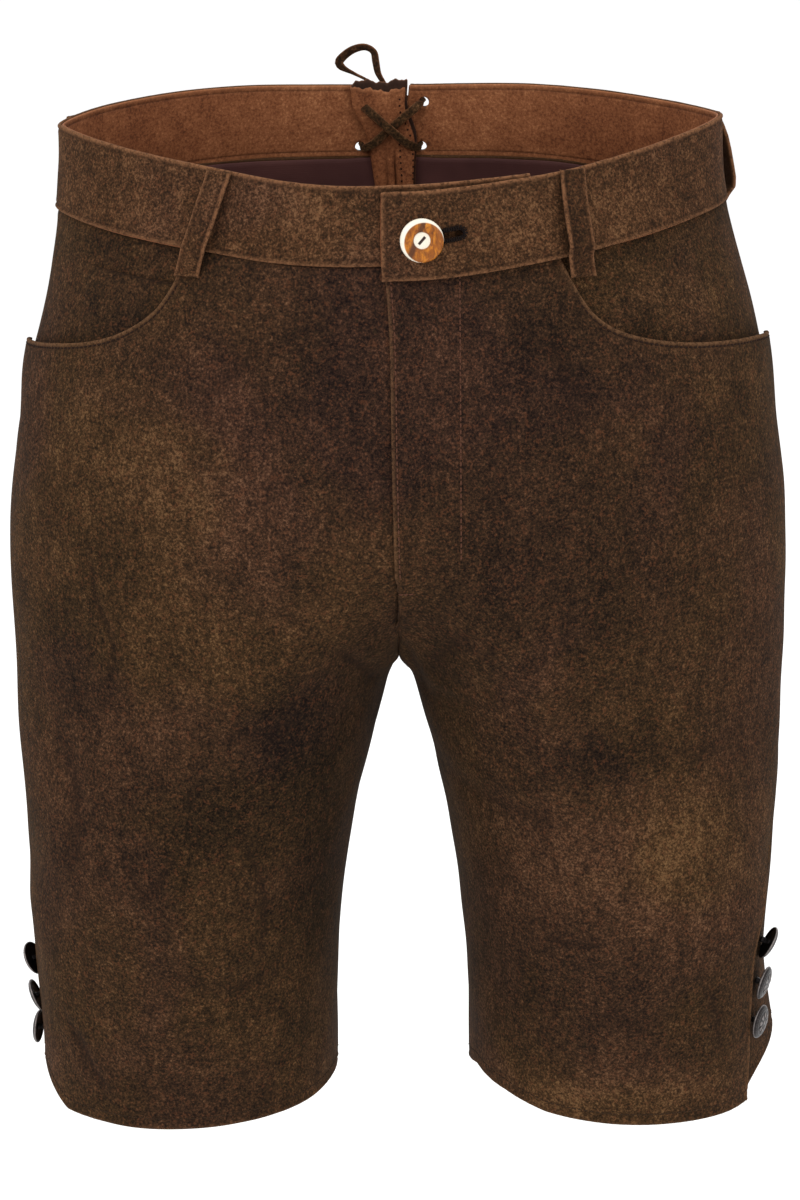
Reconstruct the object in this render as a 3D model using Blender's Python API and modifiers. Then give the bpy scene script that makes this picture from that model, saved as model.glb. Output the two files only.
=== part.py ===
"""Short suede lederhosen, filled out as they are worn, with no wearer inside.

Metres, +Z up. The front faces -Y and the wearer's left is +X. The origin is the middle of the
waist opening, level with the top edge of the waistband at the sides.

Every cloth piece is a wall on one garment surface. A place on that surface is a girth u and a
height z. On each half, u runs from 0 at the centre front (or the inseam, below the crotch)
through 1 at the widest point of the side to 2 at the centre back (or the inseam again).
"""

import math

import bmesh
import bpy
from mathutils import Matrix, Vector

MM = 0.001

# ---------------------------------------------------------------- driving dimensions
LEATHER = 1.8 * MM  # outer panels
BAND_LEATHER = 1.5 * MM
FACING_LEATHER = 1.0 * MM
LINING_CLOTH = 1.0 * MM
LINING_BOTTOM_Z = -0.168
SEAM_GAP = 0.4 * MM  # between the edges of neighbouring pieces
SIDE_GAP = 1.0 * MM  # the same at the side seam, which curves
PLY_GAP = 0.5 * MM  # between pieces that lie on each other

CROTCH_Z = -0.273
HEM_Z = -0.4985

# Outline of the garment at each height: half width, how far front and back stand from the middle,
# and its corners (1 is an ellipse, more is a lens with pointed sides, less is squarer).
BODY = (
    # z, half_width, front, back, pointed
    (+0.015, 0.1625, 0.1130, 0.1120, 1.24),
    (-0.020, 0.1630, 0.1155, 0.1160, 1.20),
    (-0.045, 0.1655, 0.1180, 0.1210, 1.14),
    (-0.075, 0.1715, 0.1215, 0.1275, 1.06),
    (-0.105, 0.1790, 0.1250, 0.1330, 1.00),
    (-0.135, 0.1865, 0.1275, 0.1370, 0.95),
    (-0.170, 0.1925, 0.1285, 0.1390, 0.92),
    (-0.210, 0.1960, 0.1270, 0.1375, 0.91),
    (-0.260, 0.1958, 0.1225, 0.1320, 0.92),
    (-0.320, 0.1945, 0.1140, 0.1220, 0.94),
    (-0.380, 0.1915, 0.1045, 0.1105, 0.94),
    (-0.430, 0.1878, 0.0965, 0.1010, 0.94),
    (-0.470, 0.1858, 0.0915, 0.0950, 0.94),
    (-0.515, 0.1850, 0.0885, 0.0915, 0.94),
)
# How far each inseam stands from the middle plane, below the crotch.
INSEAM = (
    # z, left from_middle, right from_middle
    (CROTCH_Z, 0.0000, 0.0000),
    (-0.279, 0.0045, 0.0026),
    (-0.285, 0.0070, 0.0052),
    (-0.297, 0.0100, 0.0083),
    (-0.309, 0.0130, 0.0114),
    (-0.333, 0.0192, 0.0178),
    (-0.360, 0.0245, 0.0242),
    (-0.400, 0.0300, 0.0302),
    (-0.440, 0.0338, 0.0338),
    (-0.510, 0.0350, 0.0350),
)
# How the crotch seam turns under, and how the front and back round over to it.
CURVE_RISE = {"front": 0.085, "back": 0.120}  # from the crotch up
CURVE_ROUNDNESS = 1.7  # 1 is a straight slope, 2 a quarter circle
INNER_ROUND = 0.46  # share of the half width that curves in to the seam at the crotch
LEG_ROUNDS_IN = 0.130  # below the crotch the leg becomes a plain tube over this height
GIRTH_SHIFT_RISE = 0.165  # girths crowd towards the inner seam from this far above the crotch

# Waistband edges at the centre front, the side and the centre back.
BAND_TOP = (-0.0215, 0.000, +0.0005)
BAND_BOTTOM = (-0.0585, -0.041, -0.037)
# The band dips at the sides and rises over the hips at the back, by girth from the centre front.
WAIST_DIP = (
    # girth, right mm, left mm
    (0.00, +0.0, +0.0),
    (0.20, -2.0, -0.6),
    (0.40, -1.6, -2.6),
    (0.65, -3.2, -2.4),
    (0.90, -4.6, -3.0),
    (1.00, -5.2, -3.0),
    (1.14, -3.8, -2.8),
    (1.30, -1.0, -1.6),
    (1.50, +1.8, +0.8),
    (1.65, +2.2, +1.8),
    (1.80, +0.8, +0.8),
    (1.90, +0.0, +0.0),
)
BAND_PROUD = 1.0 * MM  # the band stands this far out from the panels
LAP_DROP = (3.0 * MM, 7.0 * MM)  # the buttoned end sits this much lower, at its top and bottom
LAP_END_X = -4.0 * MM
UNDERLAP_X = 0.073  # the right band runs on this far under the left one
LAP_FADE_X = 0.108  # the left band is back on the garment surface from here on

# Fly.
FLY_EDGE = 4.5 * MM  # how far the left front laps over the right one
FLY_END_Z = -0.211
FLY_RISE = LEATHER + PLY_GAP

# Pocket mouth, from the waist seam to the side seam. The left one starts nearer the fly.
POCKET = (
    # u on the right, u on the left, z
    (0.427, 0.350, -0.0540),
    (0.436, 0.355, -0.0640),
    (0.452, 0.363, -0.0740),
    (0.479, 0.380, -0.0840),
    (0.525, 0.416, -0.0925),
    (0.584, 0.485, -0.0990),
    (0.660, 0.585, -0.1035),
    (0.750, 0.715, -0.1065),
    (0.840, 0.855, -0.1090),
    (1.000, 1.000, -0.1125),
)
MOUTH_GAPE = 4.0 * MM  # the corner of the mouth stands this far out from the hip facing
HIP_LEATHER = 1.2 * MM
HIP_FACING_FROM = 0.275
HIP_FACING_BOTTOM_Z = -0.152
COIN_LEATHER = 1.0 * MM
COIN_POCKET = (  # on the right hip facing
    # u, top z, bottom z
    (0.425, -0.0705, -0.1240),
    (0.690, -0.0668, -0.1240),
)

# Hem height, by the share of the panel from its inner seam to the side seam. The side is cut up.
HEM = {
    # share, z
    "front_right": ((0.0, -0.4985), (0.4, -0.4995), (0.6, -0.5010), (0.84, -0.5030), (1.0, -0.4890)),
    "front_left": (
        (0.00, -0.4975), (0.11, -0.4910), (0.27, -0.4930), (0.40, -0.4975), (0.58, -0.5000),
        (0.80, -0.5020), (1.00, -0.5035),
    ),
    "back_right": ((0.0, -0.4985), (0.46, -0.5005), (0.86, -0.5010), (1.0, -0.4890)),
    "back_left": (
        (0.000, -0.4985), (0.46, -0.5005), (0.62, -0.5000), (0.84, -0.4780), (0.975, -0.5030),
        (1.000, -0.5035),
    ),
}  # fmt: skip
VENT_TOP_Z = -0.415
VENT_GAP = 0.9 * MM  # between the two panels there
VENT_LAP = 8.0 * MM  # the back panel runs on this far under the front one

# Notch, gusset and lace at the centre back.
NOTCH_TOP = 10.5 * MM
NOTCH_END_Z = -0.095
EYELET_RADIUS = 2.2 * MM
EYELETS = {  # distance from the middle, height
    "upper": (17.8 * MM, -0.0085),
    "lower": (16.4 * MM, -0.0320),
}
LACE_RADIUS = 1.3 * MM

# Buttons.
WAIST_BUTTON_RADIUS = 10.2 * MM
LEG_BUTTON_RADIUS = 8.8 * MM

# The side seam swings forward below this height, by this share of the front quarter.
SWING_FROM_Z = -0.300
SWING_REACH = 0.135
SWING = {+1: 0.175, -1: 0.045}

# The left back panel flares out beside its vent.
FLARE = 8.0 * MM
FLARE_FROM_Z = -0.425
FLARE_REACH = 0.060

# The garment's middle wanders a little sideways, as it hung.
LEAN = (
    # z, towards the wearer's left
    (0.000, -0.0018),
    (-0.040, -0.0015),
    (-0.090, +0.0010),
    (-0.150, +0.0006),
    (-0.300, +0.0004),
    (-0.510, +0.0010),
)

SUEDE = (0.055, 0.030, 0.018, 1.0)
SUEDE_LIGHT = (0.085, 0.045, 0.026, 1.0)
TAN_LEATHER = (0.130, 0.047, 0.020, 1.0)
LINING = (0.033, 0.015, 0.015, 1.0)
HORN = (0.480, 0.210, 0.050, 1.0)
PEWTER = (0.220, 0.200, 0.190, 1.0)

LEFT, RIGHT = +1, -1
SIDE_NAME = {LEFT: "left", RIGHT: "right"}


# ---------------------------------------------------------------- small maths
def clamp01(t):
    return max(0.0, min(1.0, t))


def ease(t):
    t = clamp01(t)
    return t * t * (3 - 2 * t)


def mix(a, b, t):
    return a + (b - a) * t


def along(rows, key, column):
    """A smooth curve through one column of a table whose first column runs one way."""
    rows = sorted(rows)
    if key <= rows[0][0]:
        return rows[0][column]
    if key >= rows[-1][0]:
        return rows[-1][column]
    slopes = []
    for i in range(len(rows)):
        a, b = rows[max(i - 1, 0)], rows[min(i + 1, len(rows) - 1)]
        slopes.append((b[column] - a[column]) / (b[0] - a[0]))
    for i in range(len(rows) - 1):
        low, high = rows[i], rows[i + 1]
        if key <= high[0]:
            span = high[0] - low[0]
            t = (key - low[0]) / span
            return (
                (2 * t**3 - 3 * t**2 + 1) * low[column]
                + (t**3 - 2 * t**2 + t) * span * slopes[i]
                + (3 * t**2 - 2 * t**3) * high[column]
                + (t**3 - t**2) * span * slopes[i + 1]
            )
    return rows[-1][column]


def round_the_waist(side, levels, u):
    """A height that swings smoothly from the centre front to the side to the centre back."""
    front, middle, back = levels
    over = LEFT if (side == LEFT) == (u >= 0) else RIGHT  # past the middle it is the other side
    u = abs(u)
    dip = along(WAIST_DIP, u, 2 if over == LEFT else 1) * MM
    if u <= 1:
        return mix(front, middle, (1 - math.cos(math.pi * u)) / 2) + dip
    return mix(middle, back, (1 - math.cos(math.pi * (u - 1))) / 2) + dip


# ---------------------------------------------------------------- the garment surface
def quarter_round(t):
    t = clamp01(t)
    return math.sqrt(t * (2 - t))


def above_crotch(a, z, depth, rise):
    """x as a share of the half width, and y, at share a of the way from the seam to the side."""
    pointed = along(BODY, z, 4)
    crowd = 1 - ease((z - CROTCH_Z) / GIRTH_SHIFT_RISE)
    sine = abs(math.sin(a * math.pi / 2))
    x = mix(sine**pointed, sine * sine, crowd)
    below = 1 - clamp01((z - CROTCH_Z) / rise)
    under = 1 - (1 - below**CURVE_ROUNDNESS) ** (1 / CURVE_ROUNDNESS)
    across = x / (INNER_ROUND * mix(0.5, 1.0, under))
    y = depth * max(0.0, 1 - x ** (2 / pointed)) ** (pointed / 2)
    y *= 1 - under * (1 - mix(ease(across), quarter_round(across), under))
    return math.copysign(x, a), y


def below_crotch(a, z, depth):
    pointed = along(BODY, z, 4)
    x = math.sin(a * math.pi / 2) ** 2
    torso = max(0.0, 1 - x ** (2 / pointed)) ** (pointed / 2) * quarter_round(x / INNER_ROUND)
    leg = abs(math.sin(a * math.pi)) ** pointed
    y = depth * mix(torso, leg, ease((CROTCH_Z - z) / LEG_ROUNDS_IN))
    return x, math.copysign(y, a * depth)


def surface(side, u, z):
    """The point of the garment surface at girth u and height z, on the side's half."""
    front = u <= 1
    depth = -along(BODY, z, 2) if front else along(BODY, z, 3)
    a = u if front else 2 - u
    width = along(BODY, z, 1)
    if z >= CROTCH_Z:
        x, y = above_crotch(a, z, depth, CURVE_RISE["front" if front else "back"])
        return Vector((side * x * width, y, z))
    x, y = below_crotch(a, z, depth)
    inner = along(INSEAM, z, 1 if side == LEFT else 2)
    return Vector((side * mix(inner, width, x), y, z))


def outward(side, u, z):
    """The unit normal of the garment surface, pointing out of the garment."""
    step = 0.0015
    across = surface(side, u + step, z) - surface(side, u - step, z)
    down = surface(side, u, z - step) - surface(side, u, z + step)
    return (across.cross(down) * -side).normalized()


def place(side, u, z, proud=0.0):
    """A point that stands proud of the garment surface."""
    point = surface(side, u, z) + outward(side, u, z) * proud
    return point + Vector((along(LEAN, z, 1), 0, 0))


def girth_at(x, z):
    """The girth at which the front of the garment is x from the middle; negative past the middle."""
    low, high = -0.6, 1.0
    for _ in range(40):
        middle = (low + high) / 2
        if surface(LEFT, middle, z).x < x:
            low = middle
        else:
            high = middle
    return (low + high) / 2


def back_girth_at(x, z):
    """The same on the back of the garment."""
    low, high = 1.0, 2.2
    for _ in range(40):
        middle = (low + high) / 2
        if surface(LEFT, middle, z).x > x:
            low = middle
        else:
            high = middle
    return (low + high) / 2


def along_girth(side, u, z, distance):
    """The girth at this distance round the surface from u, towards the back if positive."""
    start, nearest, farthest = surface(side, u, z), 0.0, 0.3
    for _ in range(30):
        middle = (nearest + farthest) / 2
        if (surface(side, u + math.copysign(middle, distance), z) - start).length < abs(distance):
            nearest = middle
        else:
            farthest = middle
    return u + math.copysign(nearest, distance)


def outseam(side, z):
    """The girth of the side seam."""
    return 1 - SWING[side] * ease((SWING_FROM_Z - z) / SWING_REACH)


def flare(side, u, z):
    """How far the back panel stands out beside the vent."""
    if side == RIGHT:
        return 0.0
    seam = outseam(side, z)
    beside = ease((u - seam) / (1 - seam + 1e-6)) * (1 - ease((u - 1.05) / 0.25))
    return FLARE * ease((FLARE_FROM_Z - z) / FLARE_REACH) * beside


def hem(side, share, panel):
    """The height of the hem at a share of the panel's width from its inner seam."""
    rows = HEM[f"{panel}_{SIDE_NAME[side]}"]
    for low, high in zip(rows, rows[1:], strict=False):
        if share <= high[0]:
            return mix(low[1], high[1], (share - low[0]) / (high[0] - low[0]))
    return rows[-1][1]


# ---------------------------------------------------------------- objects and materials
def start_empty_scene():
    for obj in list(bpy.data.objects):
        bpy.data.objects.remove(obj, do_unlink=True)
    parts = bpy.data.collections.new("lederhosen")
    cutters = bpy.data.collections.new("cutters")
    bpy.context.scene.collection.children.link(parts)
    bpy.context.scene.collection.children.link(cutters)
    return parts, cutters


def material(name, colour, roughness, metallic=0.0):
    made = bpy.data.materials.new(name)
    made.use_nodes = True
    shader = made.node_tree.nodes["Principled BSDF"]
    shader.inputs["Base Color"].default_value = colour
    shader.inputs["Roughness"].default_value = roughness
    shader.inputs["Metallic"].default_value = metallic
    return made


def new_object(name, mesh, collection, finish=None):
    obj = bpy.data.objects.new(name, mesh)
    collection.objects.link(obj)
    if finish:
        mesh.materials.append(finish)
    return obj


def wall(name, rows, thickness, collection, finish, ring=False):
    """A cloth wall: an open grid through the rows of points, thickened inwards by Solidify."""
    shell = bmesh.new()
    grid = [[shell.verts.new(point) for point in row] for row in rows]
    for upper, lower in zip(grid, grid[1:], strict=False):
        count = len(upper) if ring else len(upper) - 1
        for i in range(count):
            j = (i + 1) % len(upper)
            shell.faces.new((upper[i], lower[i], lower[j], upper[j]))
    bmesh.ops.recalc_face_normals(shell, faces=shell.faces)
    turn_outward(shell)
    mesh = bpy.data.meshes.new(name)
    shell.to_mesh(mesh)
    shell.free()
    mesh.shade_smooth()
    obj = new_object(name, mesh, collection, finish)
    solidify = obj.modifiers.new("thickness", "SOLIDIFY")
    solidify.thickness = thickness
    solidify.offset = -1.0
    return obj


def turn_outward(shell):
    """Turns all the faces over if they look towards the middle of their half of the garment."""
    shell.normal_update()
    looking = 0.0
    for face in shell.faces:
        centre = face.calc_center_median()
        axis = Vector((0.0 if centre.z > CROTCH_Z else math.copysign(0.11, centre.x), 0.0, centre.z))
        looking += face.normal.dot(centre - axis) * face.calc_area()
    if looking < 0:
        bmesh.ops.reverse_faces(shell, faces=shell.faces)


def turned(name, profile, segments, collection, finish):
    """A turned solid about +Z, from (radius, height) points that run down its outer side."""
    mesh = bpy.data.meshes.new(name)
    outline = bmesh.new()
    chain = [outline.verts.new((radius, 0.0, height)) for radius, height in profile]
    for a, b in zip(chain, chain[1:], strict=False):
        outline.edges.new((a, b))
    outline.to_mesh(mesh)
    outline.free()
    obj = new_object(name, mesh, collection, finish)
    screw = obj.modifiers.new("turn", "SCREW")
    screw.steps = screw.render_steps = segments
    screw.use_merge_vertices = True
    screw.merge_threshold = 0.00001
    screw.use_normal_calculate = True
    return obj


def tube(name, points, radius, collection, finish):
    """A round cord along the points."""
    curve = bpy.data.curves.new(name, "CURVE")
    curve.dimensions = "3D"
    curve.bevel_depth = radius
    curve.bevel_resolution = 2
    curve.use_fill_caps = True
    spline = curve.splines.new("POLY")
    spline.points.add(len(points) - 1)
    for slot, point in zip(spline.points, points, strict=True):
        slot.co = (*point, 1.0)
    curve.materials.append(finish)
    obj = bpy.data.objects.new(name, curve)
    collection.objects.link(obj)
    return obj


def smooth_route(points, step):
    """Points about a step apart on a smooth curve through the route's own points."""
    route = []
    last = len(points) - 1
    for i in range(last):
        before, a = points[max(i - 1, 0)], points[i]
        b, after = points[i + 1], points[min(i + 2, last)]
        pieces = max(1, round((b - a).length / step))
        for k in range(pieces):
            t = k / pieces
            leave, arrive = (b - before) / 2, (after - a) / 2
            route.append(
                (2 * t**3 - 3 * t**2 + 1) * a
                + (t**3 - 2 * t**2 + t) * leave
                + (3 * t**2 - 2 * t**3) * b
                + (t**3 - t**2) * arrive
            )
    route.append(points[-1])
    return route


def cut(obj, cutter):
    """Takes the cutter's shape out of the object."""
    boolean = obj.modifiers.new("cut", "BOOLEAN")
    boolean.operation = "DIFFERENCE"
    boolean.object = cutter


def rod_cutter(name, centre, axis, radius, length, cutters, stretch=0.0, stretch_along=None):
    """A hidden rod, or with a stretch a slot with round ends, that makes a hole."""
    shape = bmesh.new()
    bmesh.ops.create_cone(
        shape, cap_ends=True, segments=16, radius1=radius, radius2=radius, depth=length
    )
    for vertex in shape.verts:
        vertex.co.x += math.copysign(stretch / 2, vertex.co.x) if stretch else 0.0
    mesh = bpy.data.meshes.new(name)
    shape.to_mesh(mesh)
    shape.free()
    rod = bpy.data.objects.new(name, mesh)
    rod.matrix_world = facing(centre, axis, stretch_along or Vector((1, 0, 0)))
    rod.hide_render = True
    rod.display_type = "WIRE"
    cutters.objects.link(rod)
    return rod


def facing(centre, normal, across):
    """A frame at centre with +Z along the normal and +X near the across direction."""
    up = normal.normalized()
    right = (across - up * across.dot(up)).normalized()
    turn = Matrix((right, up.cross(right), up)).transposed().to_4x4()
    return Matrix.Translation(centre) @ turn


# ---------------------------------------------------------------- leg panels
INNER_LEVELS = (
    # heights down the centre seam and inseam, closer together where the crotch seam turns under
    -0.095, -0.135, -0.170, -0.200, -0.216, -0.231, -0.244, -0.255, -0.263, -0.269,
    CROTCH_Z, -0.284, -0.306, -0.345, -0.395, -0.445,
)  # fmt: skip
LEVELS = len(INNER_LEVELS) + 1


def level(top, bottom, inner_top, k, share):
    """The height of row k, from the inner seam's own levels to even ones at the side seam."""
    inner = (inner_top, *INNER_LEVELS, HEM_Z)
    inner_share = (inner[k] - inner_top) / (HEM_Z - inner_top)
    return mix(top, bottom, mix(inner_share, k / LEVELS, ease(share)))


def pocket_column(side):
    return 1 if side == LEFT else 0


def mouth(side, u):
    """The height of the front panel's top edge: the waist seam, then the pocket mouth."""
    seam = round_the_waist(side, BAND_BOTTOM, u) - SEAM_GAP
    own = pocket_column(side)
    rows = [(row[own], row[2]) for row in POCKET]
    return seam if u <= rows[0][0] else min(seam, along(rows, u, 1))


def vent_open(z):
    """0 above the vent, 1 where the front panel's side edge stands clear of the back panel."""
    return ease((VENT_TOP_Z + 0.040 - z) / 0.030)


def front_proud(side, u, z):
    """How far the front panel stands out: at the pocket mouth, the vent and the fly."""
    start = POCKET[1][pocket_column(side)]
    down = mouth(side, max(u, start)) - z
    proud = MOUTH_GAPE * ease((u - start) / (1 - start)) * (1 - ease(down / 0.045))
    proud += (LEATHER + VENT_GAP) * vent_open(z) * ease((u / outseam(side, z) - 0.70) / 0.22)
    if side == LEFT:
        lapped = 1 - ease((surface(LEFT, u, z).x - 1 * MM) / (9 * MM))
        proud += FLY_RISE * lapped * (1 - ease((FLY_END_Z - 0.014 - z) / 0.018))
    return proud


def fly_lap(z):
    """How far the left front's edge lies past the middle, from the waist down to the crotch."""
    top, bottom = BAND_BOTTOM[0], FLY_END_Z
    lap = mix(FLY_EDGE, 0.4 * FLY_EDGE, clamp01((top - z) / (top - bottom)))
    return lap * (1 - ease((bottom + 0.006 - z) / 0.012))


def front_panel(side, collection, finish):
    own = pocket_column(side)
    columns = [0.0, 0.014, 0.05, 0.11, 0.17, 0.23, 0.29] + [row[own] for row in POCKET] + [0.94]
    columns = sorted(columns + ([0.36] if side == RIGHT else []))
    rows = []
    for k in range(LEVELS + 1):
        row = []
        for column in columns:
            z = level(mouth(side, column), hem(side, column, "front"), mouth(side, 0), k, column)
            u = column * along_girth(side, outseam(side, z), z, -SIDE_GAP / 2)
            if column == 0.0 and side == LEFT and fly_lap(z) > 0:
                u = girth_at(SEAM_GAP / 2 - fly_lap(z), z)
            elif column == 0.0:
                u = along_girth(side, 0.0, z, SEAM_GAP / 2)
            row.append(place(side, u, z, front_proud(side, u, z)))
        rows.append(row)
    return wall(f"front_{SIDE_NAME[side]}", rows, LEATHER, collection, finish)


def notch(z):
    """Half the width of the notch at the centre back."""
    return NOTCH_TOP * clamp01((z - NOTCH_END_Z) / (BAND_TOP[2] - NOTCH_END_Z))


def back_inner_girth(z):
    """The girth of the back panel's inner edge: beside the notch, the centre seam or the inseam."""
    plain = along_girth(LEFT, 2.0, z, -SEAM_GAP / 2)
    if z <= NOTCH_END_Z:
        return plain
    return min(plain, back_girth_at(notch(z) + SEAM_GAP / 2, z))


BACK_COLUMNS = (0.0, 0.03, 0.09, 0.17, 0.26, 0.36, 0.46, 0.56, 0.66, 0.75, 0.84, 0.91, 0.975, 1.0)


def back_panel(side, collection, finish):
    rows = []
    for k in range(LEVELS + 1):
        row = []
        for column in BACK_COLUMNS:
            top = round_the_waist(side, BAND_BOTTOM, 2 - column) - SEAM_GAP
            inner_top = BAND_BOTTOM[2] - SEAM_GAP
            z = level(top, hem(side, column, "back"), inner_top, k, column)
            lapped = VENT_LAP * ease((VENT_TOP_Z - z) / 0.020)
            outer = along_girth(side, outseam(side, z), z, SIDE_GAP / 2 - lapped)
            u = mix(back_inner_girth(z), outer, column)
            row.append(place(side, u, z, flare(side, u, z)))
        rows.append(row)
    return wall(f"back_{SIDE_NAME[side]}", rows, LEATHER, collection, finish)


# ---------------------------------------------------------------- waistband and its facing
def lap_share(x):
    """1 at the buttoned end of the left band, 0 where it is back on the garment surface."""
    return 1 - ease((x - UNDERLAP_X) / (LAP_FADE_X - UNDERLAP_X))


def band_edges(side, u):
    """The top and bottom heights of the band at girth u. The left end sits lower."""
    top, bottom = round_the_waist(side, BAND_TOP, u), round_the_waist(side, BAND_BOTTOM, u)
    if side == LEFT and u < 1:
        x = surface(LEFT, u, top).x
        down = 1 - ease((x - LAP_END_X) / (LAP_FADE_X - LAP_END_X))
        top, bottom = top - LAP_DROP[0] * down, bottom - LAP_DROP[1] * down
    return top, bottom


def band_girths(side):
    """The girths of the band's columns, from the front end to the edge of the notch."""
    z = BAND_TOP[0]
    front_end = girth_at(LAP_END_X, z) if side == LEFT else -girth_at(UNDERLAP_X - 8 * MM, z)
    columns = 30
    notch_edge = back_girth_at(notch(BAND_TOP[2]), BAND_TOP[2])
    return [mix(front_end, notch_edge, i / columns) for i in range(columns + 1)]


def band_wall(name, side, proud, thickness, inside, collection, finish):
    """A strip round half the waist, from the front end to the notch."""
    girths = band_girths(side)
    rows = []
    for share in (0.0, 1.0):
        row = []
        for i, u in enumerate(girths):
            top, bottom = band_edges(side, u)
            if inside:
                top, bottom = top - 0.6 * MM, round_the_waist(side, BAND_BOTTOM, u) + SEAM_GAP
            z = mix(top, bottom, share)
            if i == len(girths) - 1:
                u = back_girth_at(notch(z), z)
            lap = lap_share(surface(LEFT, u, z).x) if side == LEFT and u < 1 else 0.0
            row.append(place(side, u, z, mix(*proud, lap)))
        rows.append(row)
    return wall(name, rows, thickness, collection, finish)


# How far the outer faces stand out: on the garment, and where the left end laps over the right.
FACING_PROUD = (BAND_PROUD - BAND_LEATHER - 0.3 * MM, BAND_PROUD + PLY_GAP + FACING_LEATHER)
LAPPED_BAND = FACING_PROUD[1] + 0.3 * MM + BAND_LEATHER


def waistband(side, collection, outer_finish, facing_finish):
    name = SIDE_NAME[side]
    band = band_wall(
        f"waistband_{name}", side, (BAND_PROUD, LAPPED_BAND), BAND_LEATHER, False,
        collection, outer_finish,
    )  # fmt: skip
    facing_strip = band_wall(
        f"facing_{name}", side, FACING_PROUD, FACING_LEATHER, True, collection, facing_finish
    )
    return band, facing_strip


def pierce_eyelets(side, pieces, cutters):
    """Two holes beside the notch, through the band and its facing."""
    for level_name, (from_middle, z) in EYELETS.items():
        u = back_girth_at(from_middle, z)
        rod = rod_cutter(
            f"eyelet_{SIDE_NAME[side]}_{level_name}", place(side, u, z), outward(side, u, z),
            EYELET_RADIUS, 16 * MM, cutters,
        )  # fmt: skip
        for piece in pieces:
            cut(piece, rod)


# ---------------------------------------------------------------- pockets, fly facing, lining
def hip_facing_proud(side, u, z):
    """The hip facing meets the side seam flush, and lies under the front panel elsewhere."""
    under = -(LEATHER + PLY_GAP + COIN_LEATHER + 0.4 * MM)
    start = POCKET[1][pocket_column(side)]
    flush = ease((u - start) / (1 - start))
    below_mouth = ease((mouth(side, max(u, start)) + 5 * MM - z) / (20 * MM))
    return mix(under * (1 - 0.88 * flush), under, below_mouth)


def pocket_facing(side, collection, finish):
    """The hip piece that shows above the pocket mouth and goes down behind the front panel."""
    rows = []
    for k in range(7):
        row = []
        for i in range(9):
            rough = mix(HIP_FACING_FROM, 1.0, i / 8)
            top = round_the_waist(side, BAND_BOTTOM, rough) - SEAM_GAP
            z = mix(top, HIP_FACING_BOTTOM_Z, k / 6)
            u = mix(HIP_FACING_FROM, along_girth(side, outseam(side, z), z, -SIDE_GAP / 2), i / 8)
            row.append(place(side, u, z, hip_facing_proud(side, u, z)))
        rows.append(row)
    return wall(f"pocket_facing_{SIDE_NAME[side]}", rows, HIP_LEATHER, collection, finish)


def coin_pocket(collection, finish):
    """The small pocket on the right hip facing. The front panel hides its lower part."""
    near, far = COIN_POCKET
    rows = []
    for k in range(5):
        row = []
        for i in range(5):
            u, top, bottom = (mix(a, b, i / 4) for a, b in zip(near, far, strict=True))
            z = mix(top, bottom, k / 4)
            proud = hip_facing_proud(RIGHT, u, z) + COIN_LEATHER + 0.35 * MM
            row.append(place(RIGHT, u, z, proud))
        rows.append(row)
    return wall("coin_pocket", rows, COIN_LEATHER, collection, finish)


def fly_facing(collection, finish):
    """The strip behind the fly, as wide as the row of stitches beside the fly shows."""
    rows = []
    for k in range(9):
        z = mix(BAND_BOTTOM[0] - SEAM_GAP, FLY_END_Z + 4 * MM, k / 8)
        narrow = 1 - 0.75 * ease((k / 8 - 0.8) / 0.2)
        edges = (girth_at(-9 * MM, z), girth_at(33 * MM * narrow, z))
        row = [mix(*edges, i / 4) for i in range(5)]
        rows.append([place(LEFT, u, z, -(LEATHER + 2.3 * MM)) for u in row])
    return wall("fly_facing", rows, HIP_LEATHER, collection, finish)


def lining(side, collection, finish):
    """The lining inside the back, from the waist seam down to the seat."""
    rows = []
    for k in range(6):
        row = []
        for column in BACK_COLUMNS:
            top = round_the_waist(side, BAND_BOTTOM, 2 - column) - 2.0 * MM
            z = mix(top, LINING_BOTTOM_Z, k / 5)
            beside_gusset = mix(2.5 * MM, 23 * MM, ease((z + 0.135) / 0.030))
            inner = back_girth_at(beside_gusset, z)
            row.append(place(side, mix(inner, 1.004, column), z, -(LEATHER + 1.2 * MM)))
        rows.append(row)
    return wall(f"lining_{SIDE_NAME[side]}", rows, LINING_CLOTH, collection, finish)


# ---------------------------------------------------------------- gusset
GUSSET_LEATHER = 1.2 * MM
GUSSET_SECTION = (
    # along the waist, how far inside the garment surface: out along one leg, round a fold and back
    (12.5, 3.4), (5.0, 3.4), (-3.0, 3.4), (-11.0, 3.4), (-14.4, 3.8), (-15.3, 4.9),
    (-14.2, 6.0), (-8.0, 6.6), (-2.0, 6.8), (5.0, 6.6), (11.5, 6.0),
)  # fmt: skip
GUSSET_BOTTOM_Z = -0.104
GUSSET_TOP_Z = (0.0025, -0.0015)  # of the fold's outer and inner sides


def gusset(collection, finish):
    """The folded insert behind the notch, open at its top."""
    rows = []
    for k in range(8):
        row = []
        for i, (across, inside) in enumerate(GUSSET_SECTION):
            inner_leg = ease((i - 4) / 3)
            top = mix(*GUSSET_TOP_Z, inner_leg) + 0.8 * MM * math.sin(2.1 * i)
            z = mix(top, GUSSET_BOTTOM_Z, k / 7)
            narrow = mix(1.0, 0.42, (k / 7) ** 1.3)
            flat = mix(1.0, 0.70, k / 7)
            x = across * MM * narrow
            u = back_girth_at(abs(x), z)
            side = LEFT if x >= 0 else RIGHT
            depth = 3.4 + (inside - 3.4) * flat
            row.append(place(side, u, z, -depth * MM))
        rows.append(row)
    mesh_wall = wall("gusset", rows, GUSSET_LEATHER, collection, finish)
    mesh_wall.modifiers["thickness"].offset = 0.0
    return mesh_wall


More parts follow.
